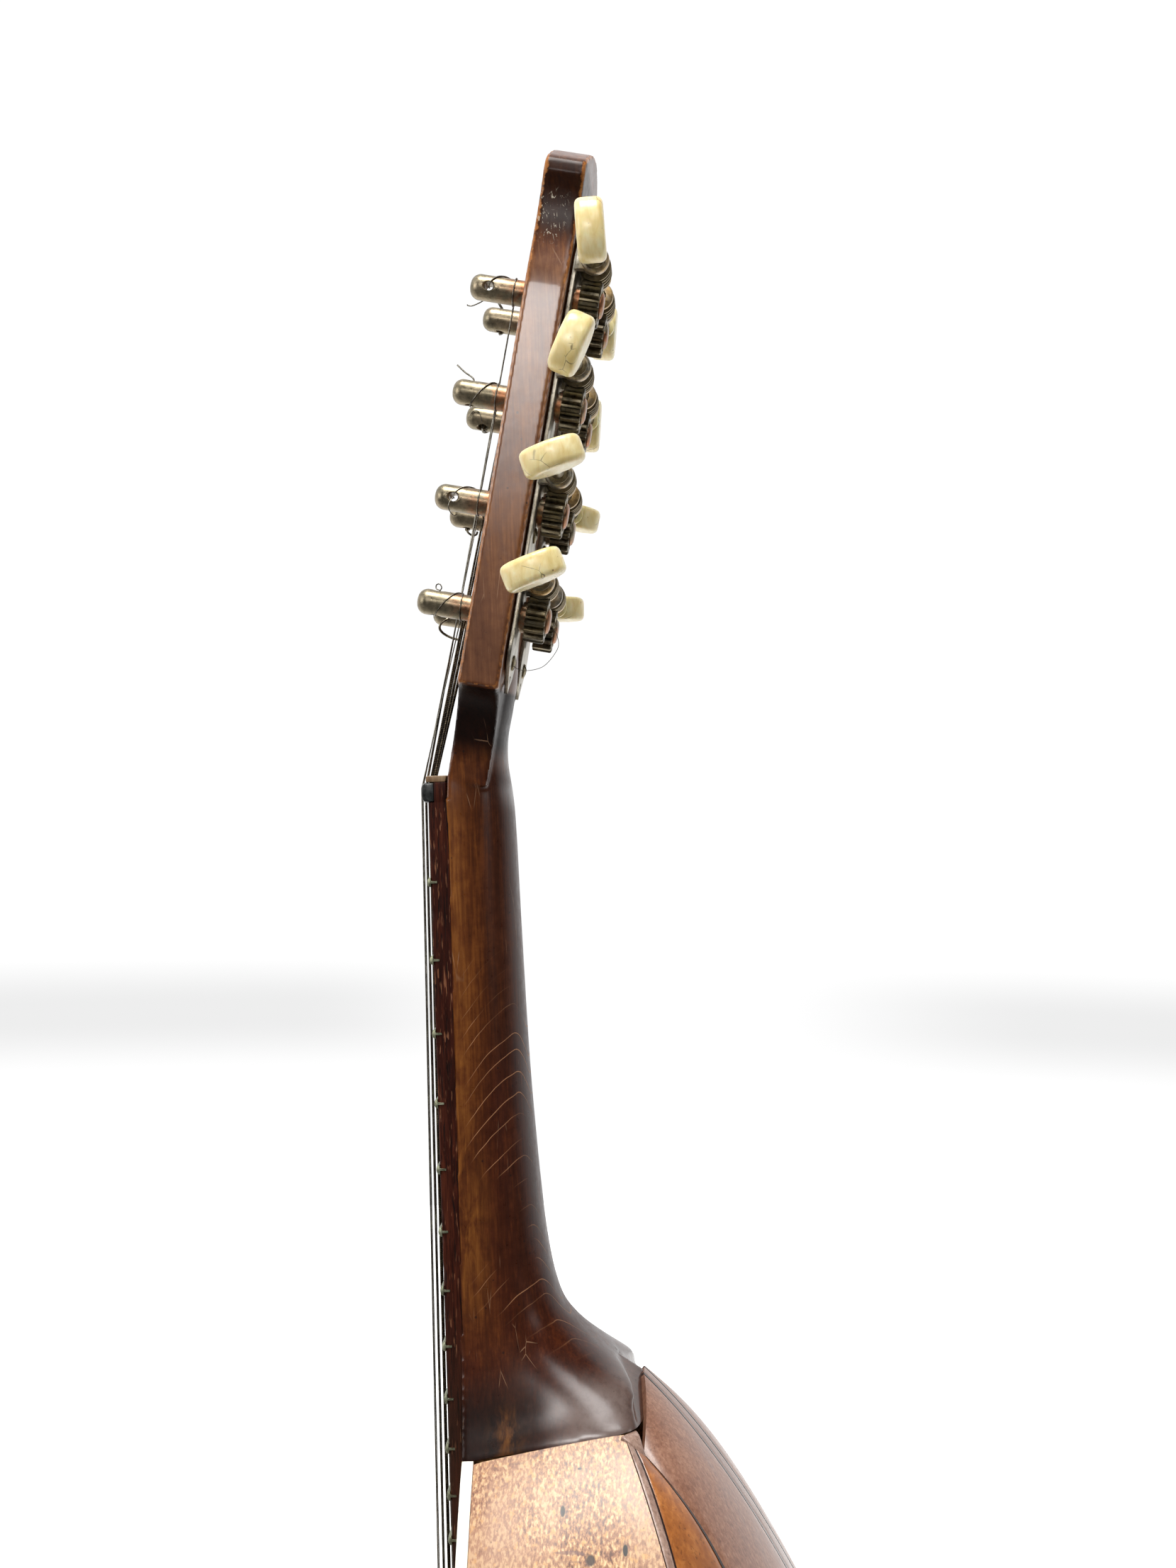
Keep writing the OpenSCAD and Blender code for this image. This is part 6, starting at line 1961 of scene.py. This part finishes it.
def post_wire(i):
    sg, s0 = side(i), post_s(i)
    x0 = POST_X * sg
    r = POST_WIRE[i]
    rad = POST_R + r + 0.02
    n_turn, pitch = TURNS[i]
    pitch = max(abs(pitch), 2.1 * r) 
    t = math.degrees(math.atan2(-math.sin(math.radians(HOLE_TURN[i - 1])), math.cos(math.radians(HOLE_TURN[i - 1]))))
    phi0, step = (180.0, -1) if sg > 0 else (0.0, 1)
    # the turns go toward the head first, then a long lead runs out to the hole
    pts = [(-sg * (POST_R + r + 0.35), -3.2, -1.6), (-sg * (POST_R + r + 0.30), -3.2, -0.9), (-sg * (POST_R + r + 0.12), -3.19, 0.0)]
    total = 360.0 * n_turn
    phi = phi0 + step * 12
    d = -3.2
    lead_to = None
    for h in (t, t + 180, t - 180, t + 360, t - 360, t + 540, t - 540, t + 720, t - 720, t + 900, t - 900, t + 1080, t - 1080, t + 1260, t - 1260, t + 1440, t - 1440, t + 1620, t - 1620):
        travel = (h - phi0) * step
        if travel >= total + 150 and (lead_to is None or travel < lead_to):
            lead_to = travel
    q = 12.0
    while q <= lead_to - 14:
        if q <= total:
            dd = -3.2 + 0.5 * pitch * (q / 360.0) * (1 if q < 360 * 0.5 else 1) - (0.0)
        else:
            u = (q - total) / (lead_to - total)
            d1 = -3.2 + 0.5 * pitch * n_turn
            dd = lerp(d1, -8.7, smooth01(u) ** 1.25)
        wob = 0.06 * math.sin(q * 0.013 + i)
        a = math.radians(phi0 + step * q)
        rr = rad + (0.10 + r * 1.2 if False else 0.0)
        pts.append((rr * math.cos(a), dd + wob, rr * math.sin(a)))
        q += 9.0
    a = math.radians(phi0 + step * lead_to)
    for rr, dd in ((rad - 0.1, -8.66), (2.2, -8.7), (0.6, -8.75)):
        pts.append((rr * math.cos(a), dd, rr * math.sin(a)))
    world = [H(x0 + x, d, s0 + s) for x, d, s in pts]
    obs = [new_object("w", *tube(world, r, 10))]
    for path, rw in ENDS[i]:
        P = catmull(path, 7)
        obs.append(new_object("w", *tube([H(x0 + x, d, s0 + s) for x, d, s in P], rw, 10)))
    ob = join(obs)
    ob.name = "post_wire_%d" % i
    finish_piece(ob, "peg_%d" % i, MAT["wire"] if r < 0.3 else MAT["wire_dark2"], angle=50)


MAT["wire_dark2"] = metal("string_aged", srgb(52, 46, 38), srgb(112, 104, 88), srgb(186, 178, 156), rough=(0.2, 0.36)).mat
for i in range(1, 9):
    post_wire(i)


def strings():
    plain, wound = [], []
    for k in range(8):
        i = STRING_POST[k]
        sg, r = side(i), STRING_R[k]
        a = H(sg * (POST_X - POST_R - r - 0.35), -3.2, post_s(i) - 1.55)
        yb = -8.02 - r
        c = (TAIL_X[k], 7.85, -422.6)
        b0 = (SADDLE_X[k], yb, -SCALE)
        path = [a, (NUT_X[k], -5.62 - r + 0.02, 2.6), (NUT_X[k], -5.62 - r, 1.4), (NUT_X[k], -5.62 - r + 0.0, 0.2), (SADDLE_X[k], yb, -SCALE + 0.4), (SADDLE_X[k], yb + 0.02, -SCALE - 0.4)]
        far = [tuple(lerp(np.array(b0), np.array(c), u)) for u in (0.08, 0.5, 0.84)]
        v, f = tube(path + far + [tuple(lerp(np.array(b0), np.array(c), 0.985))], r, 12)
        (plain if k < 4 else wound).append(new_object("s", v, f))
        # loop end: a twisted shank and an eye around the hook
        p0, p1 = np.array(lerp(np.array(b0), np.array(c), 0.87)), np.array(lerp(np.array(b0), np.array(c), 0.985))
        ax = unit(p1 - p0)
        u_ = unit(np.cross(ax, np.array([1.0, 0, 0])))
        w_ = np.cross(ax, u_)
        rw = 0.16
        path2 = []
        for q in range(61):
            t = q / 60
            an = t * 2 * math.pi * 5
            path2.append(tuple(p0 + (p1 - p0) * t + (r + rw) * (math.cos(an) * u_ + math.sin(an) * w_)))
        plain.append(new_object("s", *tube(path2, rw, 8)))
        eye = []
        ctr = np.array(C(TAIL_X[k], -2.05, 87.6))
        for q in range(25):
            an = 2 * math.pi * q / 24
            eye.append(tuple(ctr + np.array([1.15 * math.sin(an), 0.0, 1.6 * math.cos(an) + 0.1])))
        plain.append(new_object("s", *tube(eye, rw + 0.03, 8)))
    ob = join(plain)
    ob.name = "strings_plain"
    finish_piece(ob, "root", MAT["wire"], ["strings"], angle=50)
    ob = join(wound)
    ob.name = "strings_wound"
    finish_piece(ob, "root", MAT["wire_dark"], angle=50)
    # a stray end of thin wire caught under the lowest plate screw
    stray = catmull([(15.6, 10.9, 29.0), (17.4, 12.0, 28.4), (17.6, 14.6, 28.5), (17.4, 17.8, 30.2), (17.2, 20.0, 34.4), (17.4, 19.4, 37.2), (17.8, 18.4, 38.3)], 8)
    ob = new_object("stray_wire", *tube([H(*p) for p in stray], 0.07, 8))
    finish_piece(ob, "root", MAT["wire"], angle=50)


strings()
